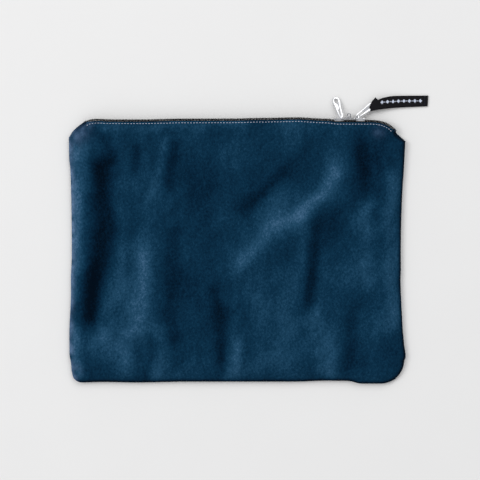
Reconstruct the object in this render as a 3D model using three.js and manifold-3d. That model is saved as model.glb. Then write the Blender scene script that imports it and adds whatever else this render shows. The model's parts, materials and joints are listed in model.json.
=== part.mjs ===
// Zippered pouch lying on its back panel, built from its cut and sewn pieces.
// Millimetres. +Z is up, +X runs right along the zip, +Y points out through the zip.
// The origin is the centre of the flat underside.

import * as THREE from "three";
import { mergeVertices } from "three/addons/utils/BufferGeometryUtils.js";
import Module from "manifold-3d";

const wasm = await Module();
wasm.setup();

const DEGREE = Math.PI / 180;

// Outline of the two panels, seen from above.
const SEAM_LEFT = -152;
const SEAM_RIGHT = 152.3;
const BOTTOM_Y = -120.5;
const LEFT_WAIST = 2.4;
const RIGHT_WAIST = 3.8;
const WAIST_BOTTOM_Y = -95;
const WAIST_TOP_Y = 98;
const BOTTOM_LEFT_RADIUS = 9;
const BOTTOM_RIGHT_RADIUS = 14;
const SHOULDER_LEFT_Y = 101.5;
const SHOULDER_RIGHT_Y = 99.5;
const SHOULDER_RIGHT_X = 151.3;

// Folded edge of the mouth: a straight run with an arc at each end.
const MOUTH_Y = 115.6;
const MOUTH_LEFT = -128;
const MOUTH_RIGHT = 126;
const LEFT_ARC_RADIUS = 16;
const LEFT_ARC_ANGLE = 45 * DEGREE;
const RIGHT_ARC_RADIUS = 22;
const RIGHT_ARC_ANGLE = 60 * DEGREE;
const MOUTH_START = MOUTH_LEFT - LEFT_ARC_RADIUS * LEFT_ARC_ANGLE;
const MOUTH_END = MOUTH_RIGHT + RIGHT_ARC_RADIUS * RIGHT_ARC_ANGLE;

// Steps of the faceted surfaces.
const CORNER_STEPS = 5;
const SIDE_ROW_STEPS = 9;
const MIDDLE_STEPS = 6;
const ARC_TURNS = [48, 36, 24, 12];
const THREAD_STEPS = 70;
const CURVE_STEPS = 10;

// Heights and thicknesses of the layers.
const GAP = 0.3;
const PANEL = 1.4;
const LINING = 0.6;
const TAPE = 0.5;
const FULL_HEIGHT = 14;
const RIM_TOP = 3.1;
const SEAM_RISE = 16;
const EDGE_ROLL = 1.0;
const EDGE_ROLL_WIDTH = 6;
const TAPE_LEG_GAP = 0.25;
const SLOPE_SLACK = 1.4;
const TAPE_LEG_BOTTOM = PANEL + TAPE_LEG_GAP;
const BACK_LINING_BOTTOM = TAPE_LEG_BOTTOM + TAPE + GAP;
const BACK_LINING_TOP = BACK_LINING_BOTTOM + LINING;
const LINING_INSET = 8;
const LINING_RISE = 18;
const LINING_RIM_TOP = BACK_LINING_TOP + GAP + LINING;
const LINING_FULL_HEIGHT = 11.5;
const LINING_MOUTH_DROP = 1.5;

// Zip. Offsets are measured outwards from the folded edge of the mouth.
const TAPE_OFFSET = 0.3;
const TAPE_LEG_LENGTH = 12;
const TAPE_EDGE_BACK = 0.35;
const COIL_OFFSET = 1.0;
const COIL_THICKNESS = 1.8;
const COIL_WIDTH = 2.6;
const COIL_HALF_GAP = 0.1;
const COIL_PARTING = 1.0;
const COIL_END_INSET = 2.4;
const COIL_SHOULDER = 0.45;
const TACK_INSET = 0.3;
const TACK_LENGTH = 1.7;
const TACK_HALF_WIDTH = 2.6;

// Threads.
const TOPSTITCH_SETBACK = 1.9;
const TOPSTITCH_SIZE = 0.35;
const TOPSTITCH_CLEAR = 0.09;
const TOPSTITCH_END_INSET = 3;
const SEAM_THREAD_SIZE = 0.5;
const SHELL_THREAD_INSET = 3.5;
const LINING_THREAD_INSET = 11;
const SEAM_THREAD_TOP_DROP = 2;
const SEAM_THREAD_BOTTOM_STOPS = [0.05, 0.2, 0.4, 0.6, 0.8, 0.95];
const SHELL_THREAD_Z = 1.9;
const LINING_THREAD_Z = 3.5;

// Sliders. "Along" runs from tail to nose, "across" is vertical.
const ZIP_CENTRE_Z = 7;
const LEFT_SLIDER_X = 92.6;
const RIGHT_SLIDER_X = 111.4;
const SLIDER_HALF_LENGTH = 4.6;
const TAIL_HALF_WIDTH = 3.5;
const NOSE_HALF_WIDTH = 4.5;
const PLATE_TAPER = [-1.7, 1.3];
const PLATE_TAIL_CHAMFER = 0.5;
const PLATE_NOSE_CHAMFER = 0.9;
const INNER_PLATE_TRIM = 0.3;
const FLANGE_WALL = 0.6;
const PART_START = 1.5;
const INNER_PLATE = [-0.95, 0.05];
const FLANGE_START = 1.15;
const OUTER_PLATE = [3.0, 3.9];
const POST_ALONG = [1.7, 4.1];
const POST_HALF_WIDTH = 0.85;
const CROWN_ALONG = 1.5;
const CROWN_HALF_LENGTH = 0.7;
const WELD = 0.2;
const CROWN_LEG_INNER = 1.55;
const CROWN_LEG_OUTER = 2.35;
const HINGE_OFFSET = OUTER_PLATE[1] + 2.2;
const HINGE_BAR_RADIUS = 0.52;
const LOOP_X = 101.6;
const LOOP_RADIUS = 1.9;
const LOOP_HOLE_RADIUS = 1.0;
const LOOP_CENTRE_OFFSET = 6.9;
const LOOP_THICKNESS = 1.2;
const LOOP_HALF_GAP = 0.15;
const LUG_BASE_STEP = 0.05;
const LUG_RISE = 0.35;
const LUG_ROOT = 1.2;

// Pull tabs, along the tab from its hinge.
const TAB_THICKNESS = 1.1;
const TAB_FOOT_RADIUS = 1.95;
const TAB_SLOT_RADIUS = 0.95;
const TAB_SLOT_LENGTH = 5.6;
const TAB_WAIST = [8, 2.35];
const TAB_SHOULDER = 13;
const TAB_EYE_CENTRE = 15;
const TAB_TIP = 18.8;
const TAB_HALF_WIDTH = 3.1;
const EYE_HALF_LENGTH = 2.5;
const EYE_HALF_WIDTH = 1.85;
const LEFT_TAB_YAW = 106.3 * DEGREE;
const LEFT_TAB_DROOP = 17 * DEGREE;
const RIGHT_TAB_YAW = 36 * DEGREE;
const RIGHT_TAB_DROOP = 12 * DEGREE;

// Ribbon label, two layers that close around the right tab's eye.
const RIBBON_LAYER = 0.5;
const RIBBON_POST_RADIUS = 0.9;
const RIBBON_END_X = 173.6;
const RIBBON_END_WIDTH = 10.2;
const RIBBON_END_RISE = 0.4;
const RIBBON_END_SLANT = 0.5;
const RIBBON_SPREAD = [1.65, 5.85];
const RIBBON_BAND = [0.5, 1.6];
const RIBBON_FOLD_SETBACK = 4;
const RIBBON_POCKET = 5.9;
const RIBBON_CLOSING = 12;

// Edges of the ribbon seen from above, measured from the eye.
const RIBBON_LOWER_EDGE = [[-1.6, -4.4], [5, -2.4], [17, -0.6], [28, 0]];
const RIBBON_UPPER_EDGE = [[28, 10.8], [17, 9.8], [6.8, 7.2]];
const RIBBON_EAR = [[4.4, 8.9], [1.5, 4]];

const LABEL_STITCH_X = 170.6;
const LABEL_STITCH_SPAN = [1.2, 9.8];
const LABEL_STITCH_WIDTH = 0.4;
const LABEL_STITCH_HEIGHT = 0.3;
const LABEL_STITCH_CLEAR = 0.05;

// ---------------------------------------------------------------- outline

// How far a side seam is drawn in at a height, as a share of its waist.
function bow(y) {
  const t = THREE.MathUtils.inverseLerp(WAIST_BOTTOM_Y, WAIST_TOP_Y, y);
  return Math.sin(Math.PI * THREE.MathUtils.clamp(t, 0, 1));
}

function cornerCut(y, radius) {
  const rise = Math.min(y - BOTTOM_Y, radius);
  return radius - Math.sqrt(radius ** 2 - (radius - rise) ** 2);
}

function arcX(y, radius, angle) {
  const drop = THREE.MathUtils.clamp(MOUTH_Y - y, 0, radius * (1 - Math.cos(angle)));
  return Math.sqrt(radius ** 2 - (radius - drop) ** 2);
}

function arcEndY(radius, angle) {
  return MOUTH_Y - radius * (1 - Math.cos(angle));
}

function leftEdge(y) {
  const seam = SEAM_LEFT + LEFT_WAIST * bow(y) + cornerCut(y, BOTTOM_LEFT_RADIUS);
  const arcY = arcEndY(LEFT_ARC_RADIUS, LEFT_ARC_ANGLE);
  if (y <= SHOULDER_LEFT_Y) return seam;
  const arc = MOUTH_LEFT - arcX(y, LEFT_ARC_RADIUS, LEFT_ARC_ANGLE);
  if (y >= arcY) return arc;
  return THREE.MathUtils.mapLinear(y, SHOULDER_LEFT_Y, arcY, SEAM_LEFT, arc);
}

function rightEdge(y) {
  const seam = SEAM_RIGHT - RIGHT_WAIST * bow(y) - cornerCut(y, BOTTOM_RIGHT_RADIUS);
  const arcY = arcEndY(RIGHT_ARC_RADIUS, RIGHT_ARC_ANGLE);
  if (y <= SHOULDER_RIGHT_Y) return seam;
  const arc = MOUTH_RIGHT + arcX(y, RIGHT_ARC_RADIUS, RIGHT_ARC_ANGLE);
  if (y >= arcY) return arc;
  return THREE.MathUtils.mapLinear(y, SHOULDER_RIGHT_Y, arcY, SHOULDER_RIGHT_X, arc);
}

// Distance inwards from the sewn left, bottom and right seams.
function seamDistance(x, y) {
  const level = Math.min(y, SHOULDER_RIGHT_Y);
  return Math.max(0, Math.min(x - leftEdge(level), rightEdge(level) - x, y - BOTTOM_Y));
}

function swell(distance, width) {
  return Math.sin(0.5 * Math.PI * THREE.MathUtils.clamp(distance / width, 0, 1));
}

// Distance inwards from the folded edge of the mouth.
function mouthDistance(x, y) {
  if (x < MOUTH_LEFT) return arcDistance(MOUTH_LEFT - x, y, LEFT_ARC_RADIUS, LEFT_ARC_ANGLE);
  if (x > MOUTH_RIGHT) return arcDistance(x - MOUTH_RIGHT, y, RIGHT_ARC_RADIUS, RIGHT_ARC_ANGLE);
  return MOUTH_Y - y;
}

function arcDistance(reach, y, radius, angle) {
  const height = y - (MOUTH_Y - radius);
  if (Math.atan2(reach, height) < angle) return radius - Math.hypot(reach, height);
  return Math.hypot(reach - radius * Math.sin(angle), height - radius * Math.cos(angle));
}

// How far the folded edge rolls in, away from the outer face of a panel.
function edgeRoll(x, y) {
  return EDGE_ROLL * THREE.MathUtils.clamp(1 - mouthDistance(x, y) / EDGE_ROLL_WIDTH, 0, 1);
}

function frontCrown(x, y) {
  return RIM_TOP + (FULL_HEIGHT - RIM_TOP) * swell(seamDistance(x, y), SEAM_RISE);
}

function frontOuter(x, y) {
  return frontCrown(x, y) - edgeRoll(x, y);
}

function frontInner(x, y) {
  return frontCrown(x, y) - PANEL;
}

function liningOuter(x, y) {
  const distance = seamDistance(x, y) - LINING_INSET;
  return LINING_RIM_TOP + (LINING_FULL_HEIGHT - LINING_RIM_TOP) * swell(distance, LINING_RISE);
}

// A point of the mouth, from its run along the folded edge and its offset outwards.
function mouthPoint(run, offset) {
  if (run < MOUTH_LEFT) return arcPoint(MOUTH_LEFT, LEFT_ARC_RADIUS, run - MOUTH_LEFT, offset);
  if (run > MOUTH_RIGHT) return arcPoint(MOUTH_RIGHT, RIGHT_ARC_RADIUS, run - MOUTH_RIGHT, offset);
  return new THREE.Vector2(run, MOUTH_Y + offset);
}

function arcPoint(startX, radius, run, offset) {
  const angle = run / radius;
  const reach = radius + offset;
  return new THREE.Vector2(startX + reach * Math.sin(angle), MOUTH_Y - radius + reach * Math.cos(angle));
}

// ---------------------------------------------------------------- builders

// Closed body from an array of equal rings of points, capped at both ends.
function ringSolid(rings) {
  const size = rings[0].length;
  const positions = rings.flat().flatMap((p) => [p.x, p.y, p.z]);
  const triangles = [];
  for (let i = 0; i + 1 < rings.length; i++) {
    for (let j = 0; j < size; j++) {
      const a = i * size + j;
      const b = i * size + ((j + 1) % size);
      triangles.push(a, b, b + size, a, b + size, a + size);
    }
  }
  const flat = rings[0].map((p) => new THREE.Vector2(p.u, p.v));
  const clockwise = THREE.ShapeUtils.isClockWise(flat);
  const last = (rings.length - 1) * size;
  for (const face of THREE.ShapeUtils.triangulateShape(flat, [])) {
    const [a, b, c] = clockwise ? face.toReversed() : face;
    triangles.push(c, b, a, last + a, last + b, last + c);
  }
  return outwardGeometry(positions, triangles);
}

function outwardGeometry(positions, triangles) {
  const geometry = new THREE.BufferGeometry();
  geometry.setAttribute("position", new THREE.Float32BufferAttribute(positions, 3));
  geometry.setIndex(signedVolume(positions, triangles) > 0 ? triangles : [...triangles].reverse());
  return geometry;
}

function signedVolume(positions, triangles) {
  const corner = (index) => new THREE.Vector3().fromArray(positions, 3 * index);
  let volume = 0;
  for (let i = 0; i < triangles.length; i += 3) {
    volume += corner(triangles[i]).dot(corner(triangles[i + 1]).cross(corner(triangles[i + 2])));
  }
  return volume;
}

// Points across a row: close together over the slope at each side, wide apart between them.
function rowPoints(left, right, sideSteps) {
  const slope = (step) => (SEAM_RISE * step) / sideSteps;
  const points = [];
  for (let i = 0; i < sideSteps; i++) points.push(left + slope(i));
  for (let i = 0; i <= MIDDLE_STEPS; i++) {
    points.push(THREE.MathUtils.lerp(left + SEAM_RISE, right - SEAM_RISE, i / MIDDLE_STEPS));
  }
  for (let i = sideSteps - 1; i >= 0; i--) points.push(right - slope(i));
  return points;
}

// Cloth layer between two height functions, over rows that run from one edge to the other.
function sheetSolid({ rows, sideSteps, left, right, upper, lower }) {
  const positions = [];
  for (const height of [lower, upper]) {
    for (const y of rows) {
      for (const x of rowPoints(left(y), right(y), sideSteps)) {
        positions.push(x, y, height(x, y));
      }
    }
  }
  const width = 2 * sideSteps + MIDDLE_STEPS + 1;
  const layer = rows.length * width;
  const triangles = [];
  const addQuad = (a, b, c, d) => triangles.push(a, b, c, a, c, d);
  for (let i = 0; i + 1 < rows.length; i++) {
    for (let j = 0; j + 1 < width; j++) {
      const a = i * width + j;
      addQuad(a, a + width, a + width + 1, a + 1);
      addQuad(layer + a, layer + a + 1, layer + a + width + 1, layer + a + width);
    }
  }
  const loop = perimeter(rows.length, width);
  loop.forEach((a, k) => {
    const b = loop[(k + 1) % loop.length];
    addQuad(a, b, b + layer, a + layer);
  });
  return outwardGeometry(positions, triangles);
}

// Indices round the edge of a grid of points.
function perimeter(height, width) {
  const loop = [];
  for (let j = 0; j < width - 1; j++) loop.push(j);
  for (let i = 0; i < height - 1; i++) loop.push(i * width + width - 1);
  for (let j = width - 1; j > 0; j--) loop.push((height - 1) * width + j);
  for (let i = height - 1; i > 0; i--) loop.push(i * width);
  return loop;
}

// Body swept along the mouth. section(run) lists its corners as [offset, height].
function sweepMouth(runs, section) {
  const rings = runs.map((run) =>
    section(run).map(([offset, height]) => {
      const point = mouthPoint(run, offset);
      const z = typeof height === "function" ? height(point.x, point.y) : height;
      return { x: point.x, y: point.y, z, u: offset, v: z };
    })
  );
  return ringSolid(rings);
}

// Runs along the mouth: coarse on the straight, fine round the arcs and past the sliders.
function mouthRuns(start, end) {
  const stretches = [
    [start, MOUTH_LEFT, 5],
    [MOUTH_LEFT, LEFT_SLIDER_X - PART_START, 8],
    [LEFT_SLIDER_X - PART_START, LEFT_SLIDER_X + PART_START, 4],
    [LEFT_SLIDER_X + PART_START, RIGHT_SLIDER_X - PART_START, 2],
    [RIGHT_SLIDER_X - PART_START, RIGHT_SLIDER_X + PART_START, 4],
    [RIGHT_SLIDER_X + PART_START, MOUTH_RIGHT, 1],
    [MOUTH_RIGHT, end, 7],
  ];
  const runs = [start];
  for (const [from, to, steps] of stretches) {
    for (let i = 1; i <= steps; i++) runs.push(THREE.MathUtils.lerp(from, to, i / steps));
  }
  return runs;
}

function toManifold(geometry) {
  const bare = geometry.clone();
  bare.deleteAttribute("normal");
  bare.deleteAttribute("uv");
  const merged = mergeVertices(bare, 1e-4);
  return new wasm.Manifold(
    new wasm.Mesh({
      numProp: 3,
      vertProperties: new Float32Array(merged.attributes.position.array),
      triVerts: new Uint32Array(merged.index.array),
    })
  );
}

function fromManifold(solid) {
  const mesh = solid.getMesh();
  const geometry = new THREE.BufferGeometry();
  geometry.setAttribute("position", new THREE.BufferAttribute(mesh.vertProperties, 3));
  geometry.setIndex(new THREE.BufferAttribute(mesh.triVerts, 1));
  return geometry;
}

function union(geometries) {
  return geometries.map(toManifold).reduce((whole, piece) => whole.add(piece));
}

function extrude(shape, depth, curveSegments = CURVE_STEPS) {
  return new THREE.ExtrudeGeometry(shape, { depth, bevelEnabled: false, curveSegments });
}

function boxBetween([x0, x1], [y0, y1], [z0, z1]) {
  const geometry = new THREE.BoxGeometry(x1 - x0, y1 - y0, z1 - z0);
  return geometry.translate((x0 + x1) / 2, (y0 + y1) / 2, (z0 + z1) / 2);
}

function polygon(points) {
  return new THREE.Shape(points.map(([x, y]) => new THREE.Vector2(x, y)));
}

// ---------------------------------------------------------------- cloth

// Heights of the rows of points: round the bottom corners, up the sides, then round the arcs.
function panelRows(low, high) {
  const rows = [];
  for (let i = 0; i <= CORNER_STEPS; i++) {
    rows.push(low + BOTTOM_RIGHT_RADIUS * (1 - Math.cos((i / CORNER_STEPS) * 90 * DEGREE)));
  }
  for (let i = 0; i <= SIDE_ROW_STEPS; i++) {
    rows.push(THREE.MathUtils.lerp(low + SEAM_RISE + 1, SHOULDER_RIGHT_Y, i / SIDE_ROW_STEPS));
  }
  const arcRows = ARC_TURNS.map((turn) => arcEndY(RIGHT_ARC_RADIUS, turn * DEGREE));
  rows.push(SHOULDER_LEFT_Y, arcEndY(RIGHT_ARC_RADIUS, RIGHT_ARC_ANGLE));
  rows.push(...arcRows, arcEndY(LEFT_ARC_RADIUS, LEFT_ARC_ANGLE), high);
  return rows.filter((y) => y <= high).sort((a, b) => a - b);
}

function frontPanel() {
  return sheetSolid({
    rows: panelRows(BOTTOM_Y, MOUTH_Y),
    sideSteps: 6,
    left: leftEdge,
    right: rightEdge,
    upper: frontOuter,
    lower: frontInner,
  });
}

function backPanel() {
  return sheetSolid({
    rows: panelRows(BOTTOM_Y, MOUTH_Y),
    sideSteps: 2,
    left: leftEdge,
    right: rightEdge,
    upper: () => PANEL,
    lower: edgeRoll,
  });
}

function liningSheet(sideSteps, upper, lower) {
  return sheetSolid({
    rows: panelRows(BOTTOM_Y + LINING_INSET, MOUTH_Y - LINING_MOUTH_DROP),
    sideSteps,
    left: (y) => leftEdge(y) + LINING_INSET,
    right: (y) => rightEdge(y) - LINING_INSET,
    upper,
    lower,
  });
}

function frontLining() {
  return liningSheet(5, liningOuter, (x, y) => liningOuter(x, y) - LINING);
}

function backLining() {
  return liningSheet(1, () => BACK_LINING_TOP, () => BACK_LINING_BOTTOM);
}

// ---------------------------------------------------------------- zip

// Top of the front tape's sewn leg, under the front panel and a little lower where the panel slopes.
function tapeLegHeight(x, y) {
  const slope = (FULL_HEIGHT - frontCrown(x, y)) / (FULL_HEIGHT - RIM_TOP);
  return frontInner(x, y) - TAPE_LEG_GAP - SLOPE_SLACK * slope;
}

// Mid-height of the zip at a run along the mouth.
function zipCentre(run) {
  const corner = mouthPoint(run, 0);
  const frontLeg = tapeLegHeight(corner.x, corner.y) - TAPE;
  return 0.5 * (TAPE_LEG_BOTTOM + TAPE + frontLeg);
}

// How far each half of the chain stands off the centre line, between the two noses.
function parting(run) {
  const start = LEFT_SLIDER_X - PART_START;
  const end = RIGHT_SLIDER_X + PART_START;
  const rise = THREE.MathUtils.smoothstep(run, start, start + 2 * PART_START);
  const fall = 1 - THREE.MathUtils.smoothstep(run, end - 2 * PART_START, end);
  return COIL_PARTING * Math.min(rise, fall);
}

function backTapeSection(run) {
  const edge = zipCentre(run) - parting(run) - TAPE_EDGE_BACK;
  const outer = TAPE_OFFSET + TAPE;
  return [
    [-TAPE_LEG_LENGTH, TAPE_LEG_BOTTOM],
    [outer, TAPE_LEG_BOTTOM],
    [outer, edge],
    [TAPE_OFFSET, edge],
    [TAPE_OFFSET, TAPE_LEG_BOTTOM + TAPE],
    [-TAPE_LEG_LENGTH, TAPE_LEG_BOTTOM + TAPE],
  ];
}

function frontTapeSection(run) {
  const edge = zipCentre(run) + parting(run) + TAPE_EDGE_BACK;
  const outer = TAPE_OFFSET + TAPE;
  const corner = mouthPoint(run, 0);
  const top = tapeLegHeight(corner.x, corner.y);
  return [
    [-TAPE_LEG_LENGTH, (x, y) => tapeLegHeight(x, y) - TAPE],
    [TAPE_OFFSET, top - TAPE],
    [TAPE_OFFSET, edge],
    [outer, edge],
    [outer, top],
    [0, tapeLegHeight],
    [-TAPE_LEG_LENGTH, tapeLegHeight],
  ];
}

function tape(section) {
  return sweepMouth(mouthRuns(MOUTH_START, MOUTH_END), section);
}

function coilHalf(side) {
  const section = (run) => {
    const inner = zipCentre(run) + side * (COIL_HALF_GAP + parting(run));
    const outer = inner + side * COIL_WIDTH;
    const high = COIL_OFFSET + COIL_THICKNESS;
    return [
      [COIL_OFFSET, inner],
      [COIL_OFFSET, outer],
      [high - COIL_SHOULDER, outer],
      [high, outer - side * COIL_SHOULDER],
      [high, inner + side * COIL_SHOULDER],
      [high - COIL_SHOULDER, inner],
    ];
  };
  return sweepMouth(mouthRuns(MOUTH_START + COIL_END_INSET, MOUTH_END - COIL_END_INSET), section);
}

function endTack(start) {
  const section = (run) => {
    const middle = zipCentre(run);
    return [
      [COIL_OFFSET, middle - TACK_HALF_WIDTH],
      [COIL_OFFSET + COIL_THICKNESS, middle - TACK_HALF_WIDTH],
      [COIL_OFFSET + COIL_THICKNESS, middle + TACK_HALF_WIDTH],
      [COIL_OFFSET, middle + TACK_HALF_WIDTH],
    ];
  };
  return sweepMouth([start, start + TACK_LENGTH], section);
}

// ---------------------------------------------------------------- threads

// Row of topstitching, lying against the outer face of a panel.
function topstitch(surface, side) {
  const low = -TOPSTITCH_SETBACK - TOPSTITCH_SIZE / 2;
  const high = -TOPSTITCH_SETBACK + TOPSTITCH_SIZE / 2;
  const near = (x, y) => surface(x, y) + side * TOPSTITCH_CLEAR;
  const far = (x, y) => near(x, y) + side * TOPSTITCH_SIZE;
  const section = () => [[low, near], [high, near], [high, far], [low, far]];
  const runs = mouthRuns(MOUTH_START + TOPSTITCH_END_INSET, MOUTH_END - TOPSTITCH_END_INSET);
  return sweepMouth(runs, section);
}

// Thread of a seam that runs down the left side, along the bottom and up the right side.
function seamThread(inset, height) {
  const rows = panelRows(BOTTOM_Y + inset, SHOULDER_RIGHT_Y - SEAM_THREAD_TOP_DROP);
  const leftSide = rows.map((y) => new THREE.Vector3(leftEdge(y) + inset, y, height)).reverse();
  const rightSide = rows.map((y) => new THREE.Vector3(rightEdge(y) - inset, y, height));
  const corner = leftSide.at(-1);
  const bottom = SEAM_THREAD_BOTTOM_STOPS.map((t) => corner.clone().lerp(rightSide[0], t));
  const route = new THREE.CatmullRomCurve3([...leftSide, ...bottom, ...rightSide], false, "centripetal");
  const half = SEAM_THREAD_SIZE / 2;
  const shape = polygon([[-half, -half], [half, -half], [half, half], [-half, half]]);
  return new THREE.ExtrudeGeometry(shape, { extrudePath: route, steps: THREAD_STEPS, bevelEnabled: false });
}

// ---------------------------------------------------------------- sliders

// The same points below the X axis, in reverse.
function mirroredHalf(points) {
  return points.map(([x, y]) => [x, -y]).reverse();
}

function plateShape(halfTail, halfNose) {
  const end = SLIDER_HALF_LENGTH;
  const tail = PLATE_TAIL_CHAMFER;
  const nose = PLATE_NOSE_CHAMFER;
  const half = [
    [-end, halfTail - tail], [-end + tail, halfTail], [PLATE_TAPER[0], halfTail],
    [PLATE_TAPER[1], halfNose], [end - nose, halfNose], [end, halfNose - nose],
  ];
  return polygon([...half, ...mirroredHalf(half)]);
}

// Extrusion of a shape drawn in the plane of the zip, between two offsets outwards.
function acrossMouth(shape, [inner, outer]) {
  return extrude(shape, outer - inner).rotateX(90 * DEGREE).translate(0, outer, 0);
}

function channelShape() {
  const reach = SLIDER_HALF_LENGTH + 1;
  const tail = TAIL_HALF_WIDTH - FLANGE_WALL;
  const nose = NOSE_HALF_WIDTH - FLANGE_WALL;
  const half = [[-reach, tail], [PLATE_TAPER[0], tail], [PLATE_TAPER[1], nose], [reach, nose]];
  return polygon([...half, ...mirroredHalf(half)]);
}

function crown() {
  const legs = [-1, 1].map((side) => {
    const span = [side * CROWN_LEG_INNER, side * CROWN_LEG_OUTER].sort((a, b) => a - b);
    const along = [CROWN_ALONG - CROWN_HALF_LENGTH, CROWN_ALONG + CROWN_HALF_LENGTH];
    return boxBetween(along, [OUTER_PLATE[1] - WELD, HINGE_OFFSET + HINGE_BAR_RADIUS], span);
  });
  const length = 2 * (CROWN_LEG_INNER + WELD);
  const bar = new THREE.CylinderGeometry(HINGE_BAR_RADIUS, HINGE_BAR_RADIUS, length, CURVE_STEPS);
  bar.rotateX(90 * DEGREE).translate(CROWN_ALONG, HINGE_OFFSET, 0);
  return [...legs, bar];
}

// Padlock loop on a lug that reaches forward from the nose, on one side of the centre plane.
function lockLoop(reach, side) {
  const base = OUTER_PLATE[0] + LUG_BASE_STEP;
  const lugTop = OUTER_PLATE[1] + LUG_RISE;
  const centre = LOOP_CENTRE_OFFSET;
  const root = SLIDER_HALF_LENGTH - LUG_ROOT;
  const lug = polygon([
    [root, base], [reach + LOOP_RADIUS, base], [reach + LOOP_RADIUS, centre],
    [reach - LOOP_RADIUS, centre], [reach - LOOP_RADIUS, lugTop], [root, lugTop],
  ]);
  const ring = new THREE.Shape().absarc(reach, centre, LOOP_RADIUS, 0, 2 * Math.PI);
  const hole = new THREE.Shape().absarc(reach, centre, LOOP_HOLE_RADIUS, 0, 2 * Math.PI);
  const slab = union([extrude(lug, LOOP_THICKNESS), extrude(ring, LOOP_THICKNESS)]);
  const drill = toManifold(extrude(hole, LOOP_THICKNESS + 2).translate(0, 0, -1));
  const shift = side > 0 ? LOOP_HALF_GAP : -LOOP_HALF_GAP - LOOP_THICKNESS;
  return slab.subtract(drill).translate([0, 0, shift]);
}

// One casting: two plates joined by the post, side flanges, the crown and the padlock loop.
function sliderBody(loopReach, loopSide) {
  const outline = plateShape(TAIL_HALF_WIDTH, NOSE_HALF_WIDTH);
  const shell = toManifold(acrossMouth(outline, [FLANGE_START, OUTER_PLATE[1]]));
  const channel = toManifold(acrossMouth(channelShape(), [FLANGE_START - 1, OUTER_PLATE[0]]));
  const trim = INNER_PLATE_TRIM;
  const innerOutline = plateShape(TAIL_HALF_WIDTH - trim, NOSE_HALF_WIDTH - trim);
  const innerPlate = acrossMouth(innerOutline, INNER_PLATE);
  const post = boxBetween(
    POST_ALONG,
    [INNER_PLATE[1] - WELD, OUTER_PLATE[0] + WELD],
    [-POST_HALF_WIDTH, POST_HALF_WIDTH]
  );
  const casting = shell
    .subtract(channel)
    .add(union([innerPlate, post, ...crown()]))
    .add(lockLoop(loopReach, loopSide));
  return fromManifold(casting);
}

function tabShape() {
  const shape = new THREE.Shape();
  shape.moveTo(0, -TAB_FOOT_RADIUS);
  shape.lineTo(TAB_WAIST[0], -TAB_WAIST[1]);
  shape.lineTo(TAB_SHOULDER, -TAB_HALF_WIDTH);
  shape.absellipse(TAB_EYE_CENTRE, 0, TAB_TIP - TAB_EYE_CENTRE, TAB_HALF_WIDTH, -Math.PI / 2, Math.PI / 2);
  shape.lineTo(TAB_SHOULDER, TAB_HALF_WIDTH);
  shape.lineTo(TAB_WAIST[0], TAB_WAIST[1]);
  shape.absarc(0, 0, TAB_FOOT_RADIUS, Math.PI / 2, (3 * Math.PI) / 2);
  const slot = new THREE.Path();
  slot.absarc(0, 0, TAB_SLOT_RADIUS, Math.PI / 2, (3 * Math.PI) / 2);
  slot.absarc(TAB_SLOT_LENGTH, 0, TAB_SLOT_RADIUS, -Math.PI / 2, Math.PI / 2);
  slot.closePath();
  const eye = new THREE.Path();
  eye.absellipse(TAB_EYE_CENTRE, 0, EYE_HALF_LENGTH, EYE_HALF_WIDTH, 0, 2 * Math.PI);
  shape.holes.push(slot, eye);
  return shape;
}

function pullTab() {
  return extrude(tabShape(), TAB_THICKNESS).translate(0, 0, -TAB_THICKNESS / 2);
}

// ---------------------------------------------------------------- ribbon

// Centre of the right tab's eye.
function eyeCentre() {
  const reach = TAB_EYE_CENTRE * Math.cos(RIGHT_TAB_DROOP);
  const hingeX = RIGHT_SLIDER_X - CROWN_ALONG;
  return new THREE.Vector3(
    hingeX + reach * Math.cos(RIGHT_TAB_YAW),
    MOUTH_Y + HINGE_OFFSET + reach * Math.sin(RIGHT_TAB_YAW),
    ZIP_CENTRE_Z - TAB_EYE_CENTRE * Math.sin(RIGHT_TAB_DROOP)
  );
}

// Ribbon seen from above: a slanted fold at the eye, then a gently arched band.
function ribbonPlan() {
  const eye = eyeCentre();
  const fromEye = ([x, y]) => [eye.x + x, eye.y + y];
  const end = RIBBON_END_X - eye.x;
  const rise = RIBBON_LOWER_EDGE.at(-1)[1] + RIBBON_END_RISE;
  const freeEnd = [[end, rise], [end + RIBBON_END_SLANT, rise + RIBBON_END_WIDTH]];
  return polygon([...RIBBON_LOWER_EDGE, ...freeEnd, ...RIBBON_UPPER_EDGE, ...RIBBON_EAR].map(fromEye));
}

// Ribbon seen along its width: open around the tab, then closed into a flat band on the table.
function ribbonProfile() {
  const eye = eyeCentre();
  const start = eye.x - RIBBON_FOLD_SETBACK;
  const pocket = eye.x + RIBBON_POCKET;
  const end = RIBBON_END_X + 2 * RIBBON_END_SLANT;
  const [bottom, top] = RIBBON_SPREAD;
  return polygon([
    [start, bottom], [pocket + RIBBON_LAYER, bottom], [pocket + RIBBON_CLOSING, RIBBON_BAND[0]],
    [end, RIBBON_BAND[0]], [end, RIBBON_BAND[1]],
    [pocket + RIBBON_CLOSING + 2 * RIBBON_LAYER, RIBBON_BAND[1]],
    [pocket + 2 * RIBBON_LAYER, top], [start, top], [start, top - RIBBON_LAYER],
    [pocket, top - RIBBON_LAYER], [pocket, bottom + RIBBON_LAYER], [start, bottom + RIBBON_LAYER],
  ]);
}

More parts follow.
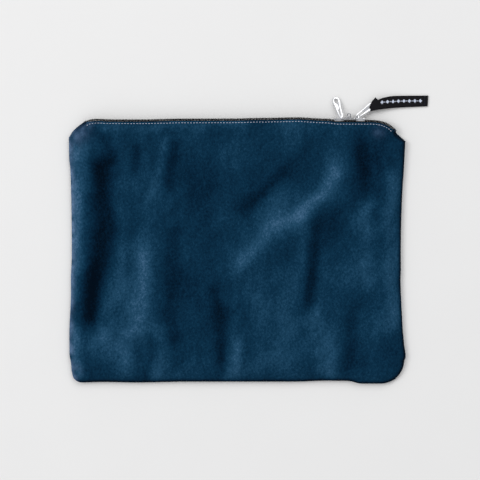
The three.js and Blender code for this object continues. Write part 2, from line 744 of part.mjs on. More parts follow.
function ribbonLabel() {
  const eye = eyeCentre();
  const [bottom, top] = RIBBON_SPREAD;
  const width = 3 * RIBBON_END_WIDTH;
  const plan = toManifold(extrude(ribbonPlan(), 2 * top));
  const profile = extrude(ribbonProfile(), width).rotateX(90 * DEGREE).translate(0, eye.y + width / 2, 0);
  const height = top - bottom - WELD;
  const post = new THREE.CylinderGeometry(RIBBON_POST_RADIUS, RIBBON_POST_RADIUS, height, CURVE_STEPS);
  post.rotateX(90 * DEGREE).translate(eye.x, eye.y, (top + bottom) / 2);
  return fromManifold(toManifold(profile).intersect(plan).add(toManifold(post)));
}

function labelStitch() {
  const eye = eyeCentre();
  const bottom = RIBBON_BAND[1] + LABEL_STITCH_CLEAR;
  return boxBetween(
    [LABEL_STITCH_X - LABEL_STITCH_WIDTH / 2, LABEL_STITCH_X + LABEL_STITCH_WIDTH / 2],
    [eye.y + LABEL_STITCH_SPAN[0], eye.y + LABEL_STITCH_SPAN[1]],
    [bottom, bottom + LABEL_STITCH_HEIGHT]
  );
}

// ---------------------------------------------------------------- assembly

function material(color, roughness, metalness = 0) {
  return new THREE.MeshStandardMaterial({ color, roughness, metalness });
}

function addPart(group, name, geometry, finish) {
  const mesh = new THREE.Mesh(geometry, finish);
  mesh.name = name;
  group.add(mesh);
  return mesh;
}

function addSlider(parent, side, x, facing, yaw, droop) {
  const group = new THREE.Group();
  group.position.set(x, MOUTH_Y, ZIP_CENTRE_Z);
  const metal = material(0xc9ccd0, 0.28, 1);
  const body = sliderBody(facing * (LOOP_X - x), facing);
  addPart(group, `${side}_slider_body`, turned(body, facing), metal);
  const hinge = new THREE.Group();
  hinge.position.set(facing * CROWN_ALONG, HINGE_OFFSET, 0);
  hinge.rotation.z = yaw;
  const tab = addPart(hinge, `${side}_pull_tab`, pullTab(), metal.clone());
  tab.rotation.y = droop;
  group.add(hinge);
  parent.add(group);
}

// The slider drawn with its nose towards +X, mirrored when it faces the other way.
function turned(geometry, facing) {
  if (facing > 0) return geometry;
  const mirrored = toManifold(geometry).mirror([1, 0, 0]);
  return fromManifold(mirrored);
}

const pouch = new THREE.Group();
const suede = material(0x14324b, 0.95);
const cotton = material(0x20262e, 0.9);
const nylon = material(0x0c0d10, 0.6);
const whiteThread = material(0xc8cedd, 0.7);
const navyThread = material(0x10243a, 0.8);
const ribbon = material(0x0f0f12, 0.6);

addPart(pouch, "front_panel", frontPanel(), suede);
addPart(pouch, "back_panel", backPanel(), suede.clone());
addPart(pouch, "front_lining", frontLining(), cotton);
addPart(pouch, "back_lining", backLining(), cotton.clone());
addPart(pouch, "front_tape", tape(frontTapeSection), nylon);
addPart(pouch, "back_tape", tape(backTapeSection), nylon.clone());
addPart(pouch, "front_coil", coilHalf(1), nylon.clone());
addPart(pouch, "back_coil", coilHalf(-1), nylon.clone());
addPart(pouch, "left_end_tack", endTack(MOUTH_START + TACK_INSET), navyThread.clone());
addPart(pouch, "right_end_tack", endTack(MOUTH_END - TACK_INSET - TACK_LENGTH), navyThread.clone());
addPart(pouch, "front_topstitch", topstitch(frontOuter, 1), whiteThread);
addPart(pouch, "back_topstitch", topstitch(edgeRoll, -1), whiteThread.clone());
addPart(pouch, "shell_seam_thread", seamThread(SHELL_THREAD_INSET, SHELL_THREAD_Z), navyThread);
addPart(pouch, "lining_seam_thread", seamThread(LINING_THREAD_INSET, LINING_THREAD_Z), navyThread.clone());
addSlider(pouch, "left", LEFT_SLIDER_X, 1, LEFT_TAB_YAW, LEFT_TAB_DROOP);
addSlider(pouch, "right", RIGHT_SLIDER_X, -1, RIGHT_TAB_YAW, RIGHT_TAB_DROOP);
addPart(pouch, "ribbon_label", ribbonLabel(), ribbon);
addPart(pouch, "label_stitch", labelStitch(), whiteThread.clone());

export default pouch;
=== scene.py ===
import json
import math

import bmesh
import bpy
import numpy as np
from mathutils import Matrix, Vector


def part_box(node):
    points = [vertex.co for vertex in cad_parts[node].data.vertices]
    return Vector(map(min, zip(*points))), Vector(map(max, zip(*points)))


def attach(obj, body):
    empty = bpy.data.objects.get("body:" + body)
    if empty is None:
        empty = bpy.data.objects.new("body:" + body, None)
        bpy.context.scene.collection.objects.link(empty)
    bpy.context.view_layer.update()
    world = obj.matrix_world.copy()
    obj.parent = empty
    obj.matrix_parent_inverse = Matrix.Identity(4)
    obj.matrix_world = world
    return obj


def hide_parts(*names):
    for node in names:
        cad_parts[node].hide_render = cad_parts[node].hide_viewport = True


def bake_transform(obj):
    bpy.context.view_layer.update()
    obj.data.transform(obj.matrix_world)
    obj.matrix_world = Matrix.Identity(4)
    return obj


# Zippered pouch: cloth, zip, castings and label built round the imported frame.
# Shapes are worked out in millimetres and made in metres. +X runs along the zip, +Y out through it.

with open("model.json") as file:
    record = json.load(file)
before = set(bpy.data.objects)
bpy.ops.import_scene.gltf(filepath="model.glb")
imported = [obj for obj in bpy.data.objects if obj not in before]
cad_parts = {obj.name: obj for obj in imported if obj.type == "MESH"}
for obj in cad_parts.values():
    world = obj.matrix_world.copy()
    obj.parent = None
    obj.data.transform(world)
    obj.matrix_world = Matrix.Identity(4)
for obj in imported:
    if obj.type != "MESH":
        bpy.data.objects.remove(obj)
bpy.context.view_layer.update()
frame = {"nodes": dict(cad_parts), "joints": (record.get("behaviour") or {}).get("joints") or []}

MM = 0.001


def box_mm(node):
    low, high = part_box(node)
    return np.array(low) / MM, np.array(high) / MM


def middle_z(node):
    low, high = box_mm(node)
    return (low[2] + high[2]) / 2


def joint(name):
    return [j for j in frame["joints"] if j["name"] == name][0]


def joint_mm(name):
    return np.array(joint(name)["pos_m"]) / MM


# ---------------- measures

panel_low, panel_high = box_mm("front_panel")
SEAM_LEFT, BOTTOM = panel_low[:2]
SEAM_RIGHT, MOUTH = panel_high[:2]
ZIP_Z = joint_mm("left_pull_swing")[2]
LEFT_HINGE_X = joint_mm("left_pull_swing")[0]
RIGHT_HINGE_X = joint_mm("right_pull_swing")[0]
LEFT_END_Z = middle_z("left_end_tack")
RIGHT_END_Z = middle_z("right_end_tack")
EYE = joint_mm("label_swing")

# Outline of the panels. The zip runs straight between MOUTH_LEFT and MOUTH_RIGHT, and turns down round an
# arc, given as radius and angle, at each end.
LEFT_WAIST = 2.2
RIGHT_WAIST = 3.8
WAIST_SPAN = (-95.0, 98.0)
BOTTOM_LEFT_RADIUS = 9.5
BOTTOM_RIGHT_RADIUS = 22.0
SHOULDER_LEFT_Y = 102.0
SHOULDER_RIGHT_Y = 98.8
MOUTH_LEFT = -128.0
MOUTH_RIGHT = 126.0
LEFT_ARC = (16.0, math.radians(45))
RIGHT_ARC = (22.0, math.radians(60))
MOUTH_START = MOUTH_LEFT - LEFT_ARC[0] * LEFT_ARC[1]
MOUTH_END = MOUTH_RIGHT + RIGHT_ARC[0] * RIGHT_ARC[1]

# The sewn corners stand out past the folded edge over the two ends of the zip.
LEFT_COVER = 3.4
RIGHT_COVER = 2.4
COVER_RUN = 11.0
LEFT_CORNER_BULGE = 0.8
RIGHT_CORNER_BULGE = 0.0
JOINT_STEPS = 11
SEWN_STEPS = 3

# Slow waves of the edges: (place along the edge, how far it stands in, or out for the mouth).
LEFT_SIDE_WAVE = [
    (-118, 2.3), (-106, 1.6), (-92, -0.3), (-72, -1.0), (-40, -0.5), (-24, -0.8), (-6, -0.2), (72, -0.1),
    (84, -0.9), (98, -0.6),
]
RIGHT_SIDE_WAVE = [
    (-106, -0.3), (-95, -1.3), (-84, -0.4), (-70, 0.0), (-30, 0.1), (-14, -0.6), (58, -0.8), (69, -1.1),
    (99, -0.9),
]
MOUTH_WAVE = [
    (-127, 1.0), (-112, 0.5), (-86, 0.5), (-50, 1.2), (-6, 1.3), (24, 1.9), (54, 2.4), (80, 1.2), (92, 0.0),
    (120, 0.0), (132, -0.6), (142, -0.7), (149, -1.3),
]
BOTTOM_WAVE = [
    (-150, 0.2), (-120, 0.8), (-90, 0.3), (-45, 1.1), (50, 1.1), (82, 2.0), (100, 1.8), (113, -0.7),
]

# Cloth. RIM is its height at the seams, CROWN in the middle and MOUTH along the zip.
CLOTH = 0.85
BACK_CLOTH = 0.7
FRONT_RIM_Z = 2.1
BACK_RIM_Z = 1.8
CROWN_Z = 10.6
MOUTH_Z = 13.3
MOUTH_RISE_WIDTH = 26.0
SEAM_SWELL = 24.0
BACK_SWELL = 6.5
SLACK = 0.35
RIPPLE = 0.12
CREASE = 0.035
FRONT_PUCKER = 0.22
BACK_PUCKER = 0.12
QUILT = 0.10
GROOVE_DEPTH = 0.22
GROOVE_WIDTH = 0.55
FRONT_FOLD = 1.05
BACK_FOLD = 0.8
FOLD_ANGLES = np.radians([22, 45, 68, 90, 112, 135, 158, 180])
TURNING = (1.2, 3.0, 6.0, 9.0)
FOLD_TAPER = 9.0
CORNER_FOLD = 0.25
CORNER_TURNING = 0.06
LIP = 0.55

# Tone of the pile, from 0 dark to 1 pale, with painted light and shade: its level, the painted light a fold
# adds where it leans towards the light at the upper left, and the painted shade the seams take off.
NAP_LEVEL = 0.46
BACK_NAP_LEVEL = 0.45
PAINTED_LEAN_LIGHT = 0.24
PAINTED_SEAM_SHADE = 0.6

# Zip. Each tape stands at TAPE_FACE in front of the folded edge, bends, and runs in under the cloth.
LEFT_DESCENT = 10.0
RIGHT_DESCENT = 17.0
SLIDER_REACH = 3.0
TAPE = 0.45
TAPE_FACE = 0.8
TAPE_GAP = 0.35
TAPE_BEND = 0.7
TAPE_LEG = (-1.5, -4.0, -7.5, -11.0)
COIL_PITCH = 1.32
COIL_STEPS = 14
COIL_LEAN = 0.30
COIL_WIRE = 0.31
COIL_MIDDLE = 1.76
COIL_REACH = 0.62
COIL_BACK = 2.45
COIL_HEAD = 0.42
COIL_PARTING = 1.0
COIL_END = 3.2
TAPE_END = 4.3
TACK_PLACE = COIL_END + 1.2
TACK_TURNS = 5
TACK_PITCH = 0.42
TACK_REACH = 1.05
TACK_THREAD = 0.2
TACK_LOWEST = 0.5

# Thread.
STITCH_PITCH = 2.7
STITCH_LENGTH = 1.6
STITCH_RADIUS = 0.24
STITCH_SETBACK = 1.7
STITCH_END = 4.0
STITCH_SINK = 0.16
STITCH_DRIFT = 0.05

# Folds of the front panel: (height, half width, points along the fold).
FOLDS = [
    (1.6, 8, [(-137, 92), (-139, 40), (-137, -10), (-135, -75)]),
    (-3.0, 10, [(-119, 74), (-120, 9), (-126, -45), (-131, -74)]),
    (2.3, 13, [(-74, 30), (-77, -30), (-68, -90)]),
    (-1.1, 14, [(-40, 70), (-44, 10), (-40, -50)]),
    (-1.9, 6, [(-16, -38), (-12, -75), (-11.5, -113)]),
    (1.1, 8, [(1, -50), (1, -113)]),
    (2.2, 11, [(84, 46), (54, 18), (30, 0), (4, -18)]),
    (-1.2, 12, [(46, 60), (22, 42), (2, 24), (-14, 6)]),
    (1.9, 8, [(65, 26), (64, -10), (62, -48)]),
    (-1.5, 7, [(78, 34), (74, -5), (70, -48)]),
    (1.1, 12, [(109, 8), (105, -50)]),
    (1.8, 10, [(101, 104), (99, 46)]),
    (-1.3, 7, [(118, 92), (121, 46)]),
    (1.5, 9, [(94, -52), (91, -113)]),
    (-1.2, 7, [(109, -56), (104, -108)]),
    (1.3, 8, [(-94, -78), (-96, -113)]),
    (1.0, 7, [(-71, -82), (-70, -113)]),
    (-1.3, 7, [(-84, -88), (-83, -116)]),
    (-0.9, 6, [(-97, 105), (-88, 84)]),
    (0.8, 7, [(-70, 106), (-60, 84)]),
    (-0.8, 6, [(-44, 106), (-36, 86)]),
    (0.9, 9, [(132, 60), (138, -20), (134, -70)]),
    (-0.8, 9, [(20, 104), (34, 84)]),
    (0.8, 10, [(10, -78), (60, -96)]),
]

# Spots of painted sheen, a pale tint on the corners: (share, radius, place).
SHEEN_SPOTS = [
    (0.55, 8.0, (-143, 107)),
    (0.35, 6.0, (-148, 96)),
    (0.45, 5.0, (-147, -109)),
    (0.30, 5.0, (128, 107)),
    (0.22, 6.0, (-136, 113)),
]

# Strokes of painted light and shade along the folds, lighter or darker: (tone, half width, points along the
# stroke).
LIGHT_AND_SHADE_STROKES = [
    (0.30, 7, [(-146, 84), (-147, 20), (-147, -40)]),
    (0.26, 6, [(-147, -70), (-146, -112)]),
    (-0.38, 10, [(-117, 76), (-118, 20), (-121, -10), (-129, -40), (-134, -58)]),
    (0.16, 15, [(-122, -82), (-104, -102)]),
    (-0.22, 4, [(-83, -78), (-81, -117)]),
    (0.22, 9, [(-68, -70), (-68, -108)]),
    (-0.16, 5, [(-128, 108), (-118, 100), (-112, 84)]),
    (-0.24, 5, [(-92, 92), (-95, 72)]),
    (0.16, 5, [(-62, 100), (-68, 72), (-74, 52)]),
    (-0.20, 5, [(-52, 94), (-60, 60)]),
    (0.30, 12, [(-84, -2), (-88, -40), (-92, -72)]),
    (0.16, 7, [(-108, 40), (-104, 0), (-108, -40)]),
    (-0.18, 8, [(-58, 12), (-60, -75)]),
    (-0.14, 20, [(-35, 84), (-30, -50)]),
    (-0.20, 6, [(-14, -56), (-13, -100)]),
    (0.26, 9, [(84, 74), (79, 50), (57, 32), (30, 25), (12, 4), (4, -8)]),
    (-0.20, 10, [(88, 26), (72, 0), (66, -25), (56, -50)]),
    (-0.20, 7, [(40, 70), (22, 50), (4, 40)]),
    (0.16, 5, [(-122, 112), (8, 113)]),
    (-0.10, 9, [(32, 100), (42, 80)]),
    (-0.20, 8, [(125, 80), (126, 34)]),
    (0.20, 7, [(-134, 90), (-134, 58)]),
    (0.10, 18, [(-60, 18), (-36, -6)]),
    (0.10, 12, [(-112, -56), (-112, -82)]),
    (-0.12, 12, [(-104, 14), (-96, -16)]),
    (-0.20, 8, [(115, 88), (116, 58)]),
    (-0.20, 9, [(106, -68), (107, -100)]),
    (0.20, 9, [(141, 62), (142, 0), (141, -64)]),
    (0.20, 9, [(72, -60), (84, -112)]),
    (0.20, 6, [(0, -80), (2, -107)]),
    (0.16, 9, [(43, -26), (45, -72)]),
    (0.14, 12, [(28, -54), (28, -96)]),
    (0.16, 7, [(118, 40), (114, 0), (118, -30)]),
]


# ---------------- curves and fields


def smooth_values(x, points):
    """Smooth curve through (place, value) points, level past both ends."""
    places = np.array([p[0] for p in points], float)
    values = np.array([p[1] for p in points], float)
    x = np.asarray(x, float)
    k = np.clip(np.searchsorted(places, x) - 1, 0, len(places) - 2)
    t = np.clip((x - places[k]) / (places[k + 1] - places[k]), 0, 1)
    return values[k] + (values[k + 1] - values[k]) * t * t * (3 - 2 * t)


def smooth_step(x, low, high):
    t = np.clip((np.asarray(x, float) - low) / (high - low), 0, 1)
    return t * t * (3 - 2 * t)


def bell(distance, width):
    return np.exp(-((distance / width) ** 2))


def path_length(points):
    steps = np.hypot(*np.diff(points, axis=0).T[:2])
    return np.concatenate([[0], np.cumsum(steps)])


def resample(points, shares):
    length = path_length(points)
    at = np.asarray(shares) * length[-1]
    return np.stack([np.interp(at, length, points[:, k]) for k in range(points.shape[1])], axis=-1)


def graded(length, fine, coarse, growth=1.28):
    """Shares from 0 to 1, close together at both ends and evenly spaced between them."""
    edge = [0.0]
    step = fine
    while step < coarse:
        edge.append(edge[-1] + step)
        step *= growth
    count = max(2, round((length - 2 * edge[-1]) / coarse) + 1)
    middle = np.linspace(edge[-1], length - edge[-1], count)
    return np.concatenate([edge[:-1], middle, length - np.array(edge[:-1])[::-1]]) / length


def distance_to(points, path):
    """Shortest distance in plan from each point to a polyline."""
    flat = points[..., :2].reshape(-1, 2)
    best = np.full(len(flat), 1e9)
    for a, b in zip(path[:-1], path[1:]):
        run = b - a
        t = np.clip(((flat - a) @ run) / max(run @ run, 1e-9), 0, 1)
        best = np.minimum(best, np.hypot(*(flat - a - t[:, None] * run).T))
    return best.reshape(points.shape[:-1])


def waves(count, low, high, seed):
    """Smooth seeded noise in plan: a sum of sine waves with lengths from low to high."""
    source = np.random.default_rng(seed)
    length = np.exp(source.uniform(np.log(low), np.log(high), count))
    angle = source.uniform(0, 2 * np.pi, count)
    phase = source.uniform(0, 2 * np.pi, count)

    def field(x, y):
        total = np.zeros(np.broadcast(x, y).shape)
        for size, turn, start in zip(length, angle, phase):
            total += np.sin((x * np.cos(turn) + y * np.sin(turn)) * 2 * np.pi / size + start)
        return total / math.sqrt(count / 2)

    return field


slow_noise = waves(14, 45, 110, 3)
ripple_noise = waves(20, 14, 34, 5)
crease_noise = waves(26, 6, 13, 9)
seam_noise = waves(16, 7, 20, 13)


# ---------------- outline


def waist(y):
    t = np.clip((y - WAIST_SPAN[0]) / (WAIST_SPAN[1] - WAIST_SPAN[0]), 0, 1)
    return np.sin(np.pi * t)


def mouth_point(run, offset):
    """Points in plan at a run along the folded edge and an offset outwards from it."""
    run = np.asarray(run, float)
    left = np.minimum(run - MOUTH_LEFT, 0) / LEFT_ARC[0]
    right = np.maximum(run - MOUTH_RIGHT, 0) / RIGHT_ARC[0]
    radius = np.where(run < MOUTH_LEFT, LEFT_ARC[0], RIGHT_ARC[0])
    turn = left + right
    reach = radius + offset + smooth_values(run, MOUTH_WAVE)
    x = np.clip(run, MOUTH_LEFT, MOUTH_RIGHT) + reach * np.sin(turn)
    y = MOUTH - radius + reach * np.cos(turn)
    return np.stack(np.broadcast_arrays(x, y), axis=-1)


def corner_arc(centre, radius, start, end, steps=9):
    turn = np.radians(np.linspace(start, end, steps))
    return np.stack([centre[0] + radius * np.cos(turn), centre[1] + radius * np.sin(turn)], axis=-1)


def bottom_y(x):
    return BOTTOM + smooth_values(x, BOTTOM_WAVE)


def side_path(edge, inwards, amount, wave, corner, shoulder_y, half_arc):
    """Side seam from the middle of its bottom corner up to the shoulder."""
    y = np.linspace(corner[1] + 1, shoulder_y, 90)
    side = np.stack([edge + inwards * (amount * waist(y) + smooth_values(y, wave)), y], axis=-1)
    return np.concatenate([half_arc, side])


left_corner = np.array([
    SEAM_LEFT + LEFT_SIDE_WAVE[0][1] + BOTTOM_LEFT_RADIUS,
    bottom_y(SEAM_LEFT + BOTTOM_LEFT_RADIUS) + BOTTOM_LEFT_RADIUS,
])
right_corner = np.array([
    SEAM_RIGHT - BOTTOM_RIGHT_RADIUS,
    bottom_y(SEAM_RIGHT - BOTTOM_RIGHT_RADIUS) + BOTTOM_RIGHT_RADIUS,
])
left_path = side_path(
    SEAM_LEFT, 1, LEFT_WAIST, LEFT_SIDE_WAVE,
    left_corner, SHOULDER_LEFT_Y, corner_arc(left_corner, BOTTOM_LEFT_RADIUS, 225, 180),
)
right_path = side_path(
    SEAM_RIGHT, -1, RIGHT_WAIST, RIGHT_SIDE_WAVE,
    right_corner, SHOULDER_RIGHT_Y, corner_arc(right_corner, BOTTOM_RIGHT_RADIUS, 315, 360),
)
bottom_x = np.linspace(left_corner[0] + 1, right_corner[0] - 1, 120)
bottom_path = np.concatenate([
    corner_arc(left_corner, BOTTOM_LEFT_RADIUS, 225, 270),
    np.stack([bottom_x, bottom_y(bottom_x)], axis=-1),
    corner_arc(right_corner, BOTTOM_RIGHT_RADIUS, 270, 315),
])


def corner_cover(run):
    """How far the sewn corners stand out past the folded edge, over the two ends of the zip."""
    left = LEFT_COVER * (1 - smooth_step(run, MOUTH_START, MOUTH_START + COVER_RUN))
    right = RIGHT_COVER * smooth_step(run, MOUTH_END - COVER_RUN, MOUTH_END)
    return left + right


def top_path(offset):
    """Top edge from shoulder to shoulder, at an offset outwards from the folded edge."""
    runs = np.linspace(MOUTH_START, MOUTH_END, 300)
    arc = mouth_point(runs, offset + corner_cover(runs))
    left = rounded_joint(left_path[-1], arc[0], LEFT_CORNER_BULGE)
    right = rounded_joint(arc[-1], right_path[-1], RIGHT_CORNER_BULGE)
    return np.concatenate([left[:-1], arc, right[1:]])


def rounded_joint(start, end, bulge):
    """Slightly bowed line from one point to another."""
    share = np.linspace(0, 1, JOINT_STEPS + 1)[:, None]
    across = np.array([start[1] - end[1], end[0] - start[0]]) / np.hypot(*(end - start))
    return start + (end - start) * share + across * bulge * np.sin(np.pi * share)


outer_top = top_path(0.0)
sewn_top = top_path(-FRONT_FOLD)
left_top = sewn_top[:JOINT_STEPS + SEWN_STEPS]
right_top = sewn_top[-JOINT_STEPS - SEWN_STEPS:]
seam_path = np.concatenate([
    left_top[::-1], left_path[::-1], bottom_path[1:-1], right_path, right_top[::-1],
])
mouth_path = outer_top[JOINT_STEPS:-JOINT_STEPS]


def coons(bottom, top, left, right, u, v):
    """Points of a four sided patch between its edge curves."""
    b, t = resample(bottom, u)[None], resample(top, u)[None]
    l, r = resample(left, v)[:, None], resample(right, v)[:, None]
    u, v = u[None, :, None], v[:, None, None]
    corners = (1 - v) * ((1 - u) * b[:, :1] + u * b[:, -1:]) + v * ((1 - u) * t[:, :1] + u * t[:, -1:])
    return (1 - v) * b + v * t + (1 - u) * l + u * r - corners


def panel_grid(fine, coarse, edge_offset):
    u = graded(SEAM_RIGHT - SEAM_LEFT, fine, coarse)
    v = graded(MOUTH - BOTTOM, fine, coarse)
    return coons(bottom_path, top_path(edge_offset), left_path, right_path, u, v)


# ---------------- heights


def swell(distance, width, power=2.3):
    t = np.clip(distance / width, 0, 1)
    return (1 - (1 - t) ** power) ** (1 / power)


def along_paths(points, table):
    """Sum of soft ridges, each (amount, half width, points along its middle)."""
    total = np.zeros(points.shape[:-1])
    for amount, width, path in table:
        total += amount * bell(distance_to(points, np.array(path, float)), width)
    return total


def band(distance, rise, fall):
    """Goes from 0 to 1 over one stretch and back to 0 over another."""
    return smooth_step(distance, *rise) * (1 - smooth_step(distance, *fall))


def cloth_relief(points):
    """Soft folds and slack of the front cloth, above or below its crown."""
    x, y = points[..., 0], points[..., 1]
    noise = SLACK * slow_noise(x, y) + RIPPLE * ripple_noise(x, y) + CREASE * crease_noise(x, y)
    return along_paths(points, FOLDS) + noise


def stitch_groove(from_mouth):
    """How deep the topstitches pull the cloth in."""
    return GROOVE_DEPTH * bell(from_mouth - STITCH_SETBACK, GROOVE_WIDTH)


def front_height(points):
    """Height of the outer face of the front panel."""
    x, y = points[..., 0], points[..., 1]
    from_seam = distance_to(points, seam_path)
    from_mouth = distance_to(points, mouth_path)
    crown = CROWN_Z + (MOUTH_Z - CROWN_Z) * bell(from_mouth, MOUTH_RISE_WIDTH)
    height = FRONT_RIM_Z + (crown - FRONT_RIM_Z) * swell(from_seam, SEAM_SWELL)
    height += cloth_relief(points) * smooth_step(from_seam, 2, 24) * smooth_step(from_mouth, 3, 20)
    pucker = FRONT_PUCKER * seam_noise(x, y) * band(from_seam, (0.5, 6), (7, 16))
    height += pucker * smooth_step(from_mouth, 2, 10)
    height += QUILT * ripple_noise(2 * x, y) * band(from_mouth, (2.5, 4), (5, 9))
    return height - stitch_groove(from_mouth)


def back_height(points):
    """Height of the outer face of the back panel, which lies on the table."""
    x, y = points[..., 0], points[..., 1]
    from_seam = distance_to(points, seam_path)
    from_mouth = distance_to(points, mouth_path)
    height = BACK_RIM_Z * (1 - swell(from_seam, BACK_SWELL))
    hollow = 0.16 * np.maximum(0, 0.4 + slow_noise(x, y)) + 0.05 * np.maximum(0, ripple_noise(x, y))
    height += hollow * smooth_step(from_seam, 4, 16) * smooth_step(from_mouth, 4, 12)
    height += BACK_PUCKER * np.maximum(0, seam_noise(x, y)) * band(from_seam, (1, 4), (8, 16))
    return height + stitch_groove(from_mouth)


def zip_centre(run):
    """Mid height of the zip, lower towards its two ends."""
    at_left = 1 - smooth_step(run, MOUTH_START, MOUTH_START + LEFT_DESCENT)
    at_right = smooth_step(run, MOUTH_END - RIGHT_DESCENT, MOUTH_END + 1)
    return ZIP_Z + (LEFT_END_Z - ZIP_Z) * at_left + (RIGHT_END_Z - ZIP_Z) * at_right


def parting(run):
    """How far each half of the chain stands off the centre between the two sliders."""
    left = (LEFT_HINGE_X - SLIDER_REACH, LEFT_HINGE_X)
    right = (RIGHT_HINGE_X, RIGHT_HINGE_X + SLIDER_REACH)
    return COIL_PARTING * band(run, left, right)


# ---------------- mesh helpers


def grid_faces(rows, cols, start=0, flip=False, wrap=False):
    i, j = np.meshgrid(np.arange(rows - 1), np.arange(cols if wrap else cols - 1), indexing="ij")
    k = (j + 1) % cols
    quads = np.stack([i * cols + j, i * cols + k, (i + 1) * cols + k, (i + 1) * cols + j], axis=-1)
    quads = quads.reshape(-1, 4) + start
    return (quads[:, ::-1] if flip else quads).tolist()


def grid_edge(rows, cols):
    """Indices once round the edge of a grid."""
    return np.concatenate([
        np.arange(cols - 1),
        np.arange(rows - 1) * cols + cols - 1,
        (rows - 1) * cols + np.arange(cols - 1, 0, -1),
        np.arange(rows - 1, 0, -1) * cols,
    ])


def grid_normals(points):
    across = np.gradient(points, axis=1)
    along = np.gradient(points, axis=0)
    normal = np.cross(across, along)
    return normal / np.maximum(np.linalg.norm(normal, axis=-1, keepdims=True), 1e-9)


def add_object(name, data):
    added = bpy.data.objects.new(name, data)
    bpy.context.scene.collection.objects.link(added)
    return added


def new_piece(name, vertices, faces, material, slot):
    """Smooth mesh from millimetres. Its rest place is kept for the materials to read."""
    vertices = np.asarray(vertices, float).reshape(-1, 3)
    mesh = bpy.data.meshes.new(name)
    mesh.from_pydata((vertices * MM).tolist(), [], faces)
    keep_rest_place(mesh, vertices)
    mesh.shade_smooth()
    mesh.materials.append(material)
    face_outwards(mesh)
    piece = add_object(name, mesh)
    return piece


def keep_rest_place(mesh, vertices):
    rest = mesh.attributes.new("rest", "FLOAT_VECTOR", "POINT")
    rest.data.foreach_set("vector", np.asarray(vertices, np.float32).ravel())


def set_values(piece, name, values):
    attribute = piece.data.attributes.new(name, "FLOAT", "POINT")
    attribute.data.foreach_set("value", np.asarray(values, np.float32).ravel())


def face_outwards(mesh):
    work = bmesh.new()
    work.from_mesh(mesh)
    bmesh.ops.recalc_face_normals(work, faces=work.faces)
    work.to_mesh(mesh)
    work.free()


def thick_sheet(name, outer, thickness, side, material, slot):
    """Closed cloth: an outer face, an inner face a thickness behind it, and their edges joined."""
    rows, cols = outer.shape[:2]
    inner = outer - side * thickness * grid_normals(outer)
    vertices = np.concatenate([outer.reshape(-1, 3), inner.reshape(-1, 3)])
    layer = rows * cols
    faces = grid_faces(rows, cols, 0, side < 0) + grid_faces(rows, cols, layer, side > 0)
    edge = grid_edge(rows, cols)
    after = np.roll(edge, -1)
    faces += np.stack([edge, edge + layer, after + layer, after], axis=-1).tolist()
    return new_piece(name, vertices, faces, material, slot)


def lifted(plan, height):
    """Points in plan with their heights."""
    return np.concatenate([plan, height[..., None]], axis=-1)


def bar_faces(rings, sides):
    """Faces of a closed bar made of rings of points, with its two ends."""
    last = (rings - 1) * sides
    return grid_faces(rings, sides, 0, False, True) + [
        list(range(sides))[::-1],
        list(range(last, last + sides)),
    ]


def tube(route, radius, sides, up=(0.0, 0.0, 1.0), flat=1.0):
    """Vertices and faces of a closed round bar along a route of points."""
    route = np.asarray(route, float)
    along = np.gradient(route, axis=0)
    along /= np.linalg.norm(along, axis=1, keepdims=True)
    side = np.cross(np.array(up), along)
    side /= np.maximum(np.linalg.norm(side, axis=1, keepdims=True), 1e-9)
    top = np.cross(along, side)
    turn = np.linspace(0, 2 * np.pi, sides, endpoint=False)
    radius = np.broadcast_to(radius, len(route))[:, None, None]
    ring = side[:, None] * np.cos(turn)[None, :, None] + flat * top[:, None] * np.sin(turn)[None, :, None]
    return (route[:, None] + radius * ring).reshape(-1, 3), bar_faces(len(route), sides)


def gather(parts):
    """One list of vertices and faces from several."""
    vertices, faces, start = [], [], 0
    for part_vertices, part_faces in parts:
        vertices.append(part_vertices)
        faces += [[start + k for k in face] for face in part_faces]
        start += len(part_vertices)
    return np.concatenate(vertices), faces


def open_with_mouth(piece):
    """Bakes the piece's transform into its mesh and reads its vertices; it does not yet move them to open
    the mouth.
    """
    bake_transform(piece)
    x = np.empty(3 * len(piece.data.vertices), np.float32)
    piece.data.vertices.foreach_get("co", x)


# ---------------- materials


def set_stops(ramp, stops):
    elements = ramp.color_ramp.elements
    while len(elements) < len(stops):
        elements.new(0.5)
    for element, (place, color) in zip(elements, stops):
        element.position = place
        element.color = (*color, 1)


